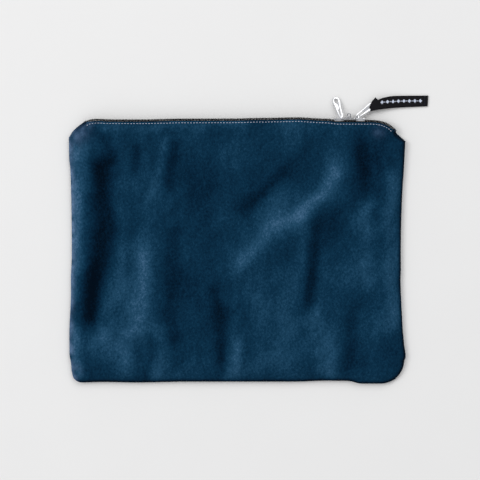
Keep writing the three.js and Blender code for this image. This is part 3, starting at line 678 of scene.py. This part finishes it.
class Nodes:
    """Small helper to lay out a node tree."""

    def __init__(self, name):
        self.material = bpy.data.materials.new(name)
        self.material.use_nodes = True
        self.tree = self.material.node_tree
        self.shader = self.tree.nodes["Principled BSDF"]

    def add(self, kind, **settings):
        node = self.tree.nodes.new(kind)
        for key, value in settings.items():
            setattr(node, key, value)
        return node

    def link(self, source, target):
        self.tree.links.new(source, target)

    def rest(self, scale=(1, 1, 1), rotation=0.0):
        place = self.add("ShaderNodeAttribute", attribute_name="rest")
        mapping = self.add("ShaderNodeMapping")
        mapping.inputs["Scale"].default_value = scale
        mapping.inputs["Rotation"].default_value = (0, 0, rotation)
        self.link(place.outputs["Vector"], mapping.inputs["Vector"])
        return mapping.outputs["Vector"]

    def noise(self, size, detail=3.0, roughness=0.55, stretch=(1, 1, 1), rotation=0.0, distortion=0.0):
        """Noise whose features are about size millimetres across."""
        node = self.add("ShaderNodeTexNoise")
        node.inputs["Scale"].default_value = 1 / size
        node.inputs["Detail"].default_value = detail
        node.inputs["Roughness"].default_value = roughness
        node.inputs["Distortion"].default_value = distortion
        self.link(self.rest(stretch, rotation), node.inputs["Vector"])
        return node.outputs["Fac"]

    def wave(self, size, axis="X", rotation=0.0):
        """Bands that repeat every size millimetres."""
        node = self.add("ShaderNodeTexWave", bands_direction=axis)
        node.inputs["Scale"].default_value = math.pi / (10 * size)
        self.link(self.rest((1, 1, 1), rotation), node.inputs["Vector"])
        return node.outputs["Fac"]

    def value(self, name):
        return self.add("ShaderNodeAttribute", attribute_name=name).outputs["Fac"]

    def math(self, operation, a, b=0.5, clamp=False):
        node = self.add("ShaderNodeMath", operation=operation, use_clamp=clamp)
        for socket, value in zip(node.inputs, (a, b)):
            if isinstance(value, (int, float)):
                socket.default_value = value
            else:
                self.link(value, socket)
        return node.outputs[0]

    def blend_sum(self, pairs, base=0.0):
        """base + the sum of (value − 0.5) × weight."""
        total = base
        for value, weight in pairs:
            part = self.math("MULTIPLY", self.math("SUBTRACT", value, 0.5), weight)
            total = self.math("ADD", part, total)
        return total

    def ramp(self, value, stops):
        node = self.add("ShaderNodeValToRGB")
        set_stops(node, [(place, linear(color)) for place, color in stops])
        self.link(value, node.inputs["Fac"])
        return node.outputs["Color"]

    def mix(self, share, first, second):
        node = self.add("ShaderNodeMix", data_type="RGBA")
        color_sockets = [socket for socket in node.inputs if socket.type == "RGBA"]
        self.link(share, node.inputs["Factor"])
        self.link(first, color_sockets[0])
        self.link(second, color_sockets[1])
        return [socket for socket in node.outputs if socket.type == "RGBA"][0]

    def map(self, value, low, high):
        node = self.add("ShaderNodeMapRange")
        node.inputs["To Min"].default_value = low
        node.inputs["To Max"].default_value = high
        self.link(value, node.inputs["Value"])
        return node.outputs["Result"]

    def bump(self, value, distance, strength=1.0, before=None):
        node = self.add("ShaderNodeBump")
        node.inputs["Strength"].default_value = strength
        node.inputs["Distance"].default_value = distance * MM
        self.link(value, node.inputs["Height"])
        if before is not None:
            self.link(before, node.inputs["Normal"])
        return node.outputs["Normal"]

    def finish(self, color, roughness, normal=None, specular=0.5, **settings):
        settings["Specular IOR Level"] = specular
        for key, value in settings.items():
            self.shader.inputs[key].default_value = value
        self.link(color, self.shader.inputs["Base Color"])
        if isinstance(roughness, float):
            self.shader.inputs["Roughness"].default_value = roughness
        else:
            self.link(roughness, self.shader.inputs["Roughness"])
        if normal is not None:
            self.link(normal, self.shader.inputs["Normal"])
        return self.material


def linear(color):
    """Linear colour from 0-255 display values."""
    c = np.array(color, float) / 255
    return np.where(c <= 0.04045, c / 12.92, ((c + 0.055) / 1.055) ** 2.4).tolist()


def suede():
    n = Nodes("brushed_suede")
    cloudy = n.noise(38, 2, 0.5)
    streaks = n.noise(7, 4, 0.6, (1, 0.35, 1), 0.3, 0.3)
    mottle = n.noise(1.7, 3, 0.7, (1, 0.75, 1), -0.4)
    fibre = n.noise(0.5, 2, 0.6)
    tone = n.blend_sum([(cloudy, 0.20), (streaks, 0.26), (mottle, 0.72), (fibre, 0.35)])
    # The stored tone carries painted light and shade from the folds and seams as well as the pile's own
    # tone.
    tone = n.math("ADD", tone, n.value("tone_and_shading"), True)
    face = n.ramp(tone, [
        (0.0, (0, 11, 24)),
        (0.25, (3, 29, 49)),
        (0.5, (10, 46, 69)),
        (0.75, (30, 68, 94)),
        (1.0, (66, 100, 130)),
    ])
    # Painted sheen: a pale blue tint mixed in where the rim value is set, along the left seam and on the
    # corners.
    sheen_tint = n.ramp(tone, [(0.2, (50, 74, 106)), (0.9, (104, 130, 162))])
    color = n.mix(n.value("rim"), face, sheen_tint)
    pile = n.bump(fibre, 0.16, 0.55)
    normal = n.bump(mottle, 0.35, 0.6, pile)
    return n.finish(color, n.map(streaks, 0.82, 0.96), normal, 0.03, **{
        "Sheen Weight": 0.05,
        "Sheen Roughness": 0.45,
        "Sheen Tint": (0.16, 0.42, 0.66, 1),
    })


def lining_weave():
    n = Nodes("lining_weave")
    weft = n.wave(0.55, "X")
    warp = n.wave(0.55, "Y")
    weave = n.math("MAXIMUM", weft, warp)
    cloudy = n.noise(22, 3)
    color = n.ramp(n.blend_sum([(weave, 0.35), (cloudy, 0.5)], 0.45), [
        (0.0, (14, 17, 22)),
        (0.6, (34, 39, 47)),
        (1.0, (58, 64, 74)),
    ])
    return n.finish(color, 0.88, n.bump(weave, 0.12, 0.6), 0.2, **{"Sheen Weight": 0.1})


def tape_weave():
    n = Nodes("zip_tape_weave")
    chevron = n.wave(0.7, "DIAGONAL", 0.4)
    rib = n.wave(0.5, "Y")
    weave = n.math("MULTIPLY", chevron, rib)
    color = n.ramp(n.blend_sum([(weave, 0.7), (n.noise(6), 0.3)], 0.45), [
        (0.0, (6, 7, 10)),
        (1.0, (30, 33, 40)),
    ])
    return n.finish(color, 0.9, n.bump(weave, 0.12, 0.7), 0.1)


def coil_nylon():
    n = Nodes("coil_nylon")
    wear = n.noise(3, 3)
    color = n.ramp(wear, [(0.25, (3, 4, 6)), (0.8, (15, 16, 20))])
    return n.finish(color, n.map(n.noise(0.5, 2), 0.38, 0.56), None, 0.3)


def thread(name, dark, light):
    n = Nodes(name)
    ply = n.wave(0.28, "DIAGONAL", 0.3)
    fuzz = n.noise(0.35, 2)
    color = n.ramp(n.blend_sum([(ply, 0.5), (fuzz, 0.5)], 0.5), [(0.0, dark), (1.0, light)])
    return n.finish(color, 0.7, n.bump(ply, 0.06, 0.6), 0.3)


def nickel():
    n = Nodes("nickel_casting")
    cast = n.noise(1.6, 3, 0.6)
    rub = n.noise(0.4, 2, 0.5, (1, 0.25, 1), 0.7)
    color = n.ramp(cast, [(0.2, (184, 186, 189)), (0.8, (202, 203, 206))])
    roughness = n.map(n.blend_sum([(cast, 0.6), (rub, 0.7)], 0.5), 0.08, 0.22)
    normal = n.bump(n.blend_sum([(cast, 1.0), (rub, 0.4)], 0.5), 0.02, 0.3)
    return n.finish(color, roughness, normal, Metallic=1.0)


def satin_ribbon():
    n = Nodes("satin_ribbon")
    rib = n.wave(0.32, "X")
    float_yarn = n.noise(0.5, 2, 0.5, (0.2, 1, 1))
    color = n.ramp(n.blend_sum([(rib, 0.5), (float_yarn, 0.6), (n.noise(7), 0.5)], 0.45), [
        (0.0, (2, 2, 4)),
        (1.0, (24, 23, 28)),
    ])
    return n.finish(color, n.map(float_yarn, 0.6, 0.8), n.bump(rib, 0.06, 0.6), 0.12)


def floor_paper():
    n = Nodes("studio_floor")
    color = n.ramp(n.noise(60, 2), [(0.0, (225, 225, 224)), (1.0, (227, 227, 226))])
    return n.finish(color, 0.9, None, 0.0)


NAVY_DARK = (8, 20, 34)
NAVY_LIGHT = (30, 50, 74)
SUEDE = suede()
LINING = lining_weave()
TAPE_CLOTH = tape_weave()
NYLON = coil_nylon()
WHITE_THREAD = thread("white_thread", (138, 150, 176), (222, 228, 240))
NAVY_THREAD = thread("navy_thread", NAVY_DARK, NAVY_LIGHT)
NICKEL = nickel()
RIBBON = satin_ribbon()


# ---------------- shells


def turned_edge(grid, height, fold, side):
    """Rows that carry a panel round its folded edge and back inside as the sewn turning."""
    edge = grid[-1, :, :2]
    run = np.gradient(edge, axis=0)
    run /= np.linalg.norm(run, axis=1, keepdims=True)
    outward = np.stack([-run[:, 1], run[:, 0]], axis=-1)
    level = height(edge)
    length = path_length(edge)
    from_ends = np.minimum(length, length[-1] - length)
    fold = fold * (CORNER_FOLD + (1 - CORNER_FOLD) * smooth_step(from_ends, 0, FOLD_TAPER))
    reach = CORNER_TURNING + (1 - CORNER_TURNING) * smooth_step(from_ends, FOLD_TAPER, 2 * FOLD_TAPER)
    rows = []
    for turn in FOLD_ANGLES:
        plan = edge + outward * fold[:, None] * math.sin(turn)
        rows.append(lifted(plan, level - side * fold * (1 - math.cos(turn))))
    for back in TURNING:
        plan = edge - outward * (back * reach)[:, None]
        rows.append(lifted(plan, height(plan) - side * 2 * fold))
    return np.array(rows), fold


def shell_thickness(grid, rows, fold, cloth):
    """The cloth's thickness, pressed thin where the folded edge runs out into the corners."""
    turned = np.minimum(cloth, 0.9 * fold)
    return np.concatenate([np.full(grid.shape[:2], cloth), np.tile(turned, (len(rows), 1))])[..., None]


def tuck_lip(grid):
    """The sewn sides and bottom curl in a little where the two panels meet."""
    ring = np.zeros(grid.shape[:2])
    ring[0, :] = ring[:, 0] = ring[:, -1] = 1
    outward = grid[..., :2] / np.maximum(np.linalg.norm(grid[..., :2], axis=-1, keepdims=True), 1e-9)
    grid[..., :2] -= LIP * ring[..., None] * outward
    return grid


def tone_and_shading_values(grid):
    """Tone of the pile with painted light and shade: lighter where the cloth leans towards the light at the
    upper left, painted light and shade in strokes, a random cloudy tone, and painted shade along the seams
    away from the left side.
    """
    x, y = grid[..., 0], grid[..., 1]
    points = grid[..., :2]
    step = 1.5
    dx = cloth_relief(points + [step, 0]) - cloth_relief(points - [step, 0])
    dy = cloth_relief(points + [0, step]) - cloth_relief(points - [0, step])
    # Painted light: lighter where a fold leans towards the light at the upper left.
    toward_light = (0.75 * dx - 0.45 * dy) / (2 * step)
    drift = 1.6 * np.stack([slow_noise(x, y), slow_noise(y, -x)], axis=-1)
    # Painted light and shade in strokes along the folds.
    streaks = along_paths(points + drift, LIGHT_AND_SHADE_STROKES)
    # Painted shade: darker along the seams everywhere but the left side, the side away from the light.
    edge = bell(distance_to(points, seam_path), 2.1) * smooth_step(x, -149, -142)
    cloudy = 0.035 * slow_noise(1.3 * x, y)
    return NAP_LEVEL + PAINTED_LEAN_LIGHT * np.tanh(2.2 * toward_light) + streaks + cloudy - PAINTED_SEAM_SHADE * edge


def painted_sheen_values(grid):
    """Painted sheen: a pale tint along the left seam and in spots on the corners."""
    x, y = grid[..., 0], grid[..., 1]
    total = 0.72 * bell(distance_to(grid, seam_path), 3.3) * (1 - smooth_step(x, -149, -140))
    for share, radius, place in SHEEN_SPOTS:
        total = np.maximum(total, share * bell(np.hypot(x - place[0], y - place[1]), radius))
    return np.clip(total * (0.85 + 0.3 * crease_noise(x, y)), 0, 1)


def paint_pile(piece, tone_and_shading, rim, rows):
    """Store the pile's tone with its painted light and shade, and the painted sheen, on both faces of a
    shell, carried on round its folded edge.
    """
    for name, values in (("tone_and_shading", tone_and_shading), ("rim", rim)):
        layer = np.concatenate([values, np.repeat(values[-1:], rows, axis=0)]).ravel()
        set_values(piece, name, np.concatenate([layer, layer]))


def shell(name, grid, height, fold, cloth, side, tone_and_shading, rim):
    """One face of the pouch with its top edge folded in."""
    rows, fold = turned_edge(grid, height, fold, side)
    grid = tuck_lip(grid)
    thickness = shell_thickness(grid, rows, fold, cloth)
    piece = thick_sheet(name, np.concatenate([grid, rows]), thickness, side, SUEDE, "shell_cloth")
    paint_pile(piece, tone_and_shading, rim, len(rows))
    return piece


def front_shell():
    plan = panel_grid(0.4, 1.7, -FRONT_FOLD)
    grid = lifted(plan, front_height(plan))
    tone_and_shading, rim = tone_and_shading_values(grid), painted_sheen_values(grid)
    piece = shell("front_shell", grid, front_height, FRONT_FOLD, CLOTH, 1, tone_and_shading, rim)
    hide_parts("front_panel")
    open_with_mouth(piece)


def back_shell():
    plan = panel_grid(0.45, 2.4, -BACK_FOLD)
    x, y = plan[..., 0], plan[..., 1]
    tone_and_shading = BACK_NAP_LEVEL + 0.05 * slow_noise(x, -y) + 0.03 * ripple_noise(x, y)
    grid = lifted(plan, back_height(plan))
    piece = shell("back_shell", grid, back_height, BACK_FOLD, BACK_CLOTH, -1, tone_and_shading, 0 * tone_and_shading)
    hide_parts("back_panel")
    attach(piece, "root")


# ---------------- linings

LINING_INSET = 8.0
LINING_DROP = 3.0
LINING_MOUTH_GAP = 1.2
LINING_RIM_Z = 3.75
LINING_SWELL = 20.0
LINING_MOUTH_RISE = (3.2, 22.0)
BACK_LINING_Z = 3.0
LINING_GAP = 0.75
LINING_CLOTH = 0.5


def lining_plan():
    """Grid of a lining: the panel's, drawn in at the sewn sides and bottom, with its top edge in place."""
    grid = panel_grid(0.9, 3.4, -LINING_MOUTH_GAP)
    middle = (SEAM_LEFT + SEAM_RIGHT) / 2
    narrow = 1 - LINING_INSET / ((SEAM_RIGHT - SEAM_LEFT) / 2)
    short = 1 - LINING_INSET / (MOUTH - BOTTOM)
    x = middle + (grid[..., 0] - middle) * narrow
    y = BOTTOM + LINING_INSET + (grid[..., 1] - BOTTOM) * short
    return np.stack([x, y], axis=-1)


def front_lining():
    plan = lining_plan()
    inside = distance_to(plan, seam_path) - LINING_INSET * 0.8
    height = LINING_RIM_Z + (CROWN_Z - LINING_DROP - LINING_RIM_Z) * swell(inside, LINING_SWELL)
    rise, width = LINING_MOUTH_RISE
    height += rise * bell(distance_to(plan, mouth_path), width)
    height = np.minimum(height, front_height(plan) - LINING_DROP)
    height = np.maximum(height, BACK_LINING_Z + LINING_GAP)
    piece = thick_sheet("front_lining_cloth", lifted(plan, height), LINING_CLOTH, 1, LINING, "lining_cloth")
    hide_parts("front_lining")
    open_with_mouth(piece)


def back_lining():
    plan = lining_plan()
    x, y = plan[..., 0], plan[..., 1]
    height = BACK_LINING_Z + 0.10 * ripple_noise(x, -y) * smooth_step(distance_to(plan, mouth_path), 10, 30)
    piece = thick_sheet("back_lining_cloth", lifted(plan, height), LINING_CLOTH, 1, LINING, "lining_cloth")
    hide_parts("back_lining")
    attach(piece, "root")


# ---------------- zip


def tape_points(side):
    """Outer face of one half of the tape: down the mouth, round a bend and in under the cloth."""
    runs = np.linspace(MOUTH_START + TAPE_END, MOUTH_END - TAPE_END, 240)
    centre = zip_centre(runs)
    fold = FRONT_FOLD if side > 0 else BACK_FOLD
    surface = front_height if side > 0 else back_height

    def leg(offset):
        plan = mouth_point(runs, offset)
        return surface(plan) - side * (2 * fold + 0.12)

    top = leg(-fold)
    start = centre + side * (parting(runs) + TAPE_GAP)
    rows = []
    for share in (0.0, 0.35, 0.7, 1.0):
        z = start + (top - side * TAPE_BEND - start) * share
        rows.append(lifted(mouth_point(runs, TAPE_FACE), z))
    for turn in np.radians([30, 60, 90]):
        offset = TAPE_FACE - TAPE_BEND * (1 - math.cos(turn))
        z = top - side * TAPE_BEND * (1 - math.sin(turn))
        rows.append(lifted(mouth_point(runs, offset), z))
    for offset in TAPE_LEG:
        rows.append(lifted(mouth_point(runs, offset), leg(offset)))
    return np.array(rows)


def zip_tape(name, side, node):
    piece = thick_sheet(name, tape_points(side), TAPE, -side, TAPE_CLOTH, "zip_tape")
    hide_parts(node)
    return piece


def coil_route(side):
    """Wound nylon wire: a flattened helix along the mouth, half a turn apart from the other half."""
    start, end = MOUTH_START + COIL_END, MOUTH_END - COIL_END
    turns = int((end - start) / COIL_PITCH)
    t = np.arange(turns * COIL_STEPS + 1) / COIL_STEPS
    if side < 0:
        t = t + 0.5
    run = np.clip(start + COIL_PITCH * t, start, end)
    angle = 2 * np.pi * t
    offset = COIL_MIDDLE + COIL_REACH * np.sin(angle)
    middle = (COIL_BACK - COIL_HEAD) / 2
    reach = (COIL_BACK + COIL_HEAD) / 2
    z = zip_centre(run) + side * (parting(run) + middle - reach * np.cos(angle))
    # The turns lean so that the heads of one half fall between those of the other.
    run_lean = run + COIL_LEAN * COIL_PITCH * np.sin(angle)
    return lifted(mouth_point(run_lean, offset), z)


def zip_coil(name, side, node):
    piece = new_piece(name, *tube(coil_route(side), COIL_WIRE, 7, (1.0, 0.0, 0.0)), NYLON, "zip_coil")
    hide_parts(node)
    return piece


def topstitch(name, side, node):
    """Row of separate stitches, each dipping into the cloth at both ends."""
    start = MOUTH_START + STITCH_END
    end = MOUTH_END - STITCH_END
    surface, rise, seed = (front_height, 0.34, 21) if side > 0 else (back_height, 0.12, 22)
    source = np.random.default_rng(seed)
    share = np.linspace(0, 1, 9)
    arch = np.sin(np.pi * share)
    radius = STITCH_RADIUS * (0.45 + 0.55 * arch ** 0.5)
    parts = []
    for k in range(int((end - start) / STITCH_PITCH)):
        run = start + STITCH_PITCH * k + source.normal(0, STITCH_DRIFT) + STITCH_LENGTH * share
        drift = source.normal(0, STITCH_DRIFT)
        plan = mouth_point(run, -STITCH_SETBACK + drift + 0.10 * (share - 0.5))
        z = surface(plan) + side * (rise * arch ** 0.6 - STITCH_SINK)
        parts.append(tube(lifted(plan, np.maximum(z, STITCH_RADIUS)), radius, 8))
    piece = new_piece(name, *gather(parts), WHITE_THREAD, "topstitch_thread")
    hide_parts(node)
    return piece


def end_tack(name, run, node):
    """Thread wound a few times round both halves of the coil at one end of the zip."""
    t = np.arange(TACK_TURNS * 16 + 1) / 16
    turn = 2 * np.pi * t
    plan = mouth_point(run + TACK_PITCH * (t - TACK_TURNS / 2), COIL_MIDDLE + TACK_REACH * np.cos(turn))
    z = zip_centre(run) + (COIL_BACK + 0.45) * np.sin(turn)
    route = lifted(plan, np.maximum(z, TACK_LOWEST))
    piece = new_piece(name, *tube(route, TACK_THREAD, 8, (1.0, 0.0, 0.0)), NAVY_THREAD, "seam_thread")
    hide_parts(node)
    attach(piece, "root")


def zip_pieces():
    end_tack("left_tack", MOUTH_START + TACK_PLACE, "left_end_tack")
    end_tack("right_tack", MOUTH_END - TACK_PLACE, "right_end_tack")
    for piece in (
        zip_tape("front_zip_tape", 1, "front_tape"),
        zip_coil("front_zip_coil", 1, "front_coil"),
        topstitch("front_topstitches", 1, "front_topstitch"),
    ):
        open_with_mouth(piece)
    for piece in (
        zip_tape("back_zip_tape", -1, "back_tape"),
        zip_coil("back_zip_coil", -1, "back_coil"),
        topstitch("back_topstitches", -1, "back_topstitch"),
    ):
        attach(piece, "root")


# ---------------- castings


def casting(name, node, edge_width):
    """Cast metal piece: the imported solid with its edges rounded, as they come out of a die.

    Each piece has the name of the body it rides on.
    """
    mesh = frame["nodes"][node].data.copy()
    mesh.name = name
    piece = add_object(name, mesh)
    work = bmesh.new()
    work.from_mesh(mesh)
    bmesh.ops.remove_doubles(work, verts=work.verts, dist=0.01 * MM)
    bmesh.ops.dissolve_limit(work, angle_limit=math.radians(3), verts=work.verts, edges=work.edges)
    work.to_mesh(mesh)
    work.free()
    bevel = piece.modifiers.new("rounded_edges", "BEVEL")
    bevel.width = edge_width * MM
    bevel.segments = 3
    bevel.limit_method = "ANGLE"
    bevel.angle_limit = math.radians(32)
    bevel.use_clamp_overlap = True
    bpy.context.view_layer.update()
    evaluated = piece.evaluated_get(bpy.context.evaluated_depsgraph_get())
    final = bpy.data.meshes.new_from_object(evaluated)
    final.name = name
    piece.modifiers.clear()
    piece.data = final
    final.shade_smooth()
    final.set_sharp_from_angle(angle=math.radians(38))
    keep_rest_place(final, np.array([v.co for v in final.vertices]) / MM)
    final.materials.clear()
    final.materials.append(NICKEL)
    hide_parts(node)
    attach(piece, name)


# ---------------- ribbon

# Long edges of the two leaves, from the eye of the pull to the free end.
RIBBON_CLOTH = 0.34
RIBBON_TOP_LOWER = [(119.9, 125.7), (126.6, 127.2), (141.2, 129.2), (153.6, 130.0), (173.4, 130.9)]
RIBBON_TOP_UPPER = [
    (126.0, 139.0), (127.4, 136.2), (129.6, 137.2), (134.2, 138.8), (144.6, 140.3), (174.0, 140.7),
]
RIBBON_BACK_LOWER = [(120.9, 126.4), (127.5, 128.2), (141.2, 129.6), (153.6, 130.3), (173.5, 131.2)]
RIBBON_BACK_UPPER = [(126.2, 138.2), (130.0, 136.6), (138.7, 139.3), (150.5, 140.4), (173.8, 140.4)]
RIBBON_BOW = 1.7

# Height of each leaf: (x, height).
TOP_LEAF_Z = [(119, 5.45), (127, 5.5), (140, 3.2), (152, 2.0), (166, 1.45), (174, 1.35)]
BACK_LEAF_Z = [(119, 2.35), (127, 2.2), (140, 1.35), (152, 0.8), (166, 0.62), (174, 0.6)]

# Strands of the bunched ribbon round the middle of the eye.
STRANDS = [(-0.75, -0.7), (0.0, -0.95), (0.75, -0.55), (-0.4, 0.3), (0.5, 0.45)]
STRAND_RADIUS = 0.42

# Woven motif: x of the first lozenge, how many there are, how far apart, and the line they follow.
MOTIF_START = 131.8
MOTIF_COUNT = 8
MOTIF_PITCH = 5.0
MOTIF_LINE = [(130, 134.2), (140, 135.0), (150, 135.6), (168, 135.8)]
MOTIF_SLOPE = [(130, 0.10), (148, 0.04), (168, 0.0)]
LOZENGE = (1.65, 1.75)
DOT = (0.5, 0.5)

# Stitches across the free end.
END_STITCHES = 6
END_STITCH_Y = 132.0
END_STITCH_PITCH = 1.45
END_STITCH_LENGTH = 1.0


def ribbon_leaf(lower, upper, heights, curl):
    """Ruled leaf between a lower and an upper edge. Its left edge curls towards the other leaf."""
    u = np.concatenate([np.linspace(0, 0.08, 9)[:-1], np.linspace(0.08, 1, 64)])
    v = np.linspace(0, 1, 13)
    low = smooth_path(lower, u)
    high = smooth_path(upper, u)
    plan = low[:, None] + (high - low)[:, None] * v[None, :, None]
    bow = RIBBON_BOW * np.sin(np.pi * v)[None] * bell(u, 0.10)[:, None]
    plan = plan + bow[..., None] * np.array([-0.9, 0.43])
    z = smooth_values(plan[..., 0], heights) + curl * bell(u, 0.022)[:, None]
    arch = 0.12 * np.sin(np.pi * v)[None] * smooth_step(u, 0.1, 0.4)[:, None]
    return lifted(plan, z + arch)


def smooth_path(points, shares):
    """Catmull-Rom curve through points, at shares of its length."""
    p = np.array(points, float)
    p = np.concatenate([[2 * p[0] - p[1]], p, [2 * p[-1] - p[-2]]])
    t = np.linspace(0, 1, 12, endpoint=False)[:, None]
    pieces = []
    for a, b, c, d in zip(p[:-3], p[1:-2], p[2:-1], p[3:]):
        curve = 2 * b + (c - a) * t + (2 * a - 5 * b + 4 * c - d) * t ** 2 + (3 * b - a - 3 * c + d) * t ** 3
        pieces.append(curve / 2)
    return resample(np.concatenate(pieces + [p[-2:-1]]), shares)


def ribbon_label():
    top = ribbon_leaf(RIBBON_TOP_LOWER, RIBBON_TOP_UPPER, TOP_LEAF_Z, -1.0)
    back = ribbon_leaf(RIBBON_BACK_LOWER, RIBBON_BACK_UPPER, BACK_LEAF_Z, 0.9)
    front_leaf = thick_sheet("ribbon_label_front", top, RIBBON_CLOTH, -1, RIBBON, "ribbon")
    back_leaf = thick_sheet("ribbon_label_back", back, RIBBON_CLOTH, 1, RIBBON, "ribbon")
    for piece in (front_leaf, back_leaf, gathered_strip()):
        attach(piece, "label")
    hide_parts("ribbon_label")
    woven_motif(top)


def gathered_strip():
    """The ribbon bunched together where it passes through the eye of the pull."""
    share = np.linspace(0, 1, 11)
    spread = 1 + 0.7 * (2 * share - 1) ** 2
    low = smooth_values(EYE[0], BACK_LEAF_Z) + 0.1
    high = smooth_values(EYE[0], TOP_LEAF_Z) - 0.1
    parts = []
    for k, (dx, dy) in enumerate(STRANDS):
        x = EYE[0] + 0.3 + dx * spread
        y = EYE[1] + dy * spread
        route = np.column_stack([x, y, low + (high - low) * share])
        parts.append(tube(route, STRAND_RADIUS, 8, (0.0, 1.0, 0.0), 0.75 + 0.1 * (k % 2)))
    return new_piece("ribbon_gather", *gather(parts), RIBBON, "ribbon")


def surface_at(grid, x, y):
    """Height of a ruled grid at points in plan, from its nearest four corners."""
    flat = grid.reshape(-1, 3)
    out = []
    for px, py in zip(np.ravel(x), np.ravel(y)):
        d = np.hypot(flat[:, 0] - px, flat[:, 1] - py)
        near = np.argsort(d)[:4]
        w = 1 / np.maximum(d[near], 1e-3)
        out.append((flat[near, 2] * w).sum() / w.sum())
    return np.array(out).reshape(np.shape(x))


def woven_motif(grid):
    """Raised white lozenges and dots, woven along the middle of the label."""
    parts = []
    for k in range(MOTIF_COUNT):
        x = MOTIF_START + MOTIF_PITCH * k
        middle = float(smooth_values(x, MOTIF_LINE))
        slope = float(smooth_values(x, MOTIF_SLOPE))
        parts.append(motif_patch(grid, x, middle, slope, *LOZENGE, 4))
        if k < MOTIF_COUNT - 1:
            between = MOTIF_PITCH / 2
            parts.append(motif_patch(grid, x + between, middle + between * slope, slope, *DOT, 12))
    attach(new_piece("label_motif", *gather(parts), WHITE_THREAD, "topstitch_thread"), "label")


def motif_patch(grid, x, y, slope, half_long, half_wide, sides):
    """Low raised patch with a rounded top."""
    turn = np.linspace(0, 2 * np.pi, sides, endpoint=False)
    rings = []
    for scale, lift in ((1.0, -0.05), (1.0, 0.05), (0.82, 0.11), (0.35, 0.13)):
        px = x + scale * half_long * np.cos(turn)
        py = y + scale * half_wide * np.sin(turn) + slope * scale * half_long * np.cos(turn)
        rings.append(np.column_stack([px, py, surface_at(grid, px, py) + lift]))
    return np.concatenate(rings), bar_faces(len(rings), sides)


def label_stitches():
    """Row of small stitches across the free end, through both layers."""
    x = box_mm("label_stitch")[0][0] + 0.2
    share = np.linspace(0, 1, 7)
    z = smooth_values(x, TOP_LEAF_Z) + 0.28 * np.sin(np.pi * share) ** 0.6
    parts = []
    for k in range(END_STITCHES):
        y = END_STITCH_Y + END_STITCH_PITCH * k + END_STITCH_LENGTH * share
        parts.append(tube(np.column_stack([np.full(7, x), y, z]), 0.13, 7))
    piece = new_piece("label_stitches", *gather(parts), NAVY_THREAD, "topstitch_thread")
    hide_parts("label_stitch")
    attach(piece, "label")


# ---------------- CAD nodes that stay


def keep_nodes():
    for node in ("shell_seam_thread", "lining_seam_thread"):
        mesh = frame["nodes"][node].data
        for k in range(len(mesh.materials)):
            mesh.materials[k] = THREAD_ON_NODE
        if not mesh.materials:
            mesh.materials.append(THREAD_ON_NODE)


def node_thread():
    """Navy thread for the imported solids, which have no rest place stored on them."""
    n = Nodes("navy_thread_solid")
    place = n.add("ShaderNodeTexCoord").outputs["Object"]
    ply = n.add("ShaderNodeTexWave", bands_direction="DIAGONAL")
    ply.inputs["Scale"].default_value = 600
    n.link(place, ply.inputs["Vector"])
    color = n.ramp(ply.outputs["Fac"], [(0.0, NAVY_DARK), (1.0, NAVY_LIGHT)])
    return n.finish(color, 0.75, n.bump(ply.outputs["Fac"], 0.08, 0.6), 0.3)


THREAD_ON_NODE = node_thread()


# ---------------- studio


TABLE_Z = -0.00005
CAMERA_PLACE = (0.0029, 0.0094, 1.608)
CAMERA_LENS = 132.6
SKY_STRENGTH = 0.83

# Brightness of the sky: (height above the horizon, where 1 is straight up, and level).
SKY_BANDS = [(0.0, 0.46), (0.2, 0.40), (0.36, 0.5), (0.55, 0.95), (0.80, 1.0), (0.93, 0.92), (1.0, 0.36)]


def table():
    """Paper floor, set a hair below the cloth so that the two faces don't share a plane."""
    bpy.ops.mesh.primitive_plane_add(size=4.0, location=(0, 0, TABLE_Z))
    floor = bpy.context.object
    floor.name = "table"
    keep_rest_place(floor.data, np.array([v.co for v in floor.data.vertices]) / MM)
    floor.data.materials.append(floor_paper())


def camera():
    """Long lens straight above the pouch, as in the photo."""
    data = bpy.data.cameras.new("camera")
    data.lens = CAMERA_LENS
    data.sensor_width = 36
    data.clip_start = 0.01
    view = add_object("camera", data)
    view.location = CAMERA_PLACE
    bpy.context.scene.camera = view


def area_light(name, place, size, energy):
    data = bpy.data.lights.new(name, "AREA")
    data.shape = "DISK"
    data.size = size
    data.energy = energy
    lamp = add_object(name, data)
    lamp.location = place
    lamp.rotation_euler = (-Vector(place)).to_track_quat("-Z", "Y").to_euler()


def sky():
    """Pale studio all round with a grey gap overhead, so that bright metal has something to mirror."""
    world = bpy.data.worlds.new("studio")
    bpy.context.scene.world = world
    world.use_nodes = True
    tree = world.node_tree
    background = tree.nodes["Background"]
    place = tree.nodes.new("ShaderNodeTexCoord")
    split = tree.nodes.new("ShaderNodeSeparateXYZ")
    ramp = tree.nodes.new("ShaderNodeValToRGB")
    set_stops(ramp, [(height, (level, level, 1.02 * level)) for height, level in SKY_BANDS])
    tree.links.new(place.outputs["Generated"], split.inputs[0])
    tree.links.new(split.outputs["Z"], ramp.inputs["Fac"])
    tree.links.new(ramp.outputs["Color"], background.inputs["Color"])
    background.inputs["Strength"].default_value = SKY_STRENGTH


def studio():
    table()
    camera()
    sky()
    area_light("key_light", (-2.2, 0.5, 2.7), 1.8, 42)
    area_light("fill_light", (0.5, 1.9, 2.3), 2.0, 22)
    bpy.context.scene.view_settings.view_transform = "Standard"


# ---------------- assembly

back_shell()
back_lining()
front_lining()
front_shell()
zip_pieces()
casting("left_slider", "left_slider_body", 0.16)
casting("right_slider", "right_slider_body", 0.16)
casting("left_pull", "left_pull_tab", 0.24)
casting("right_pull", "right_pull_tab", 0.24)
ribbon_label()
label_stitches()
keep_nodes()
studio()
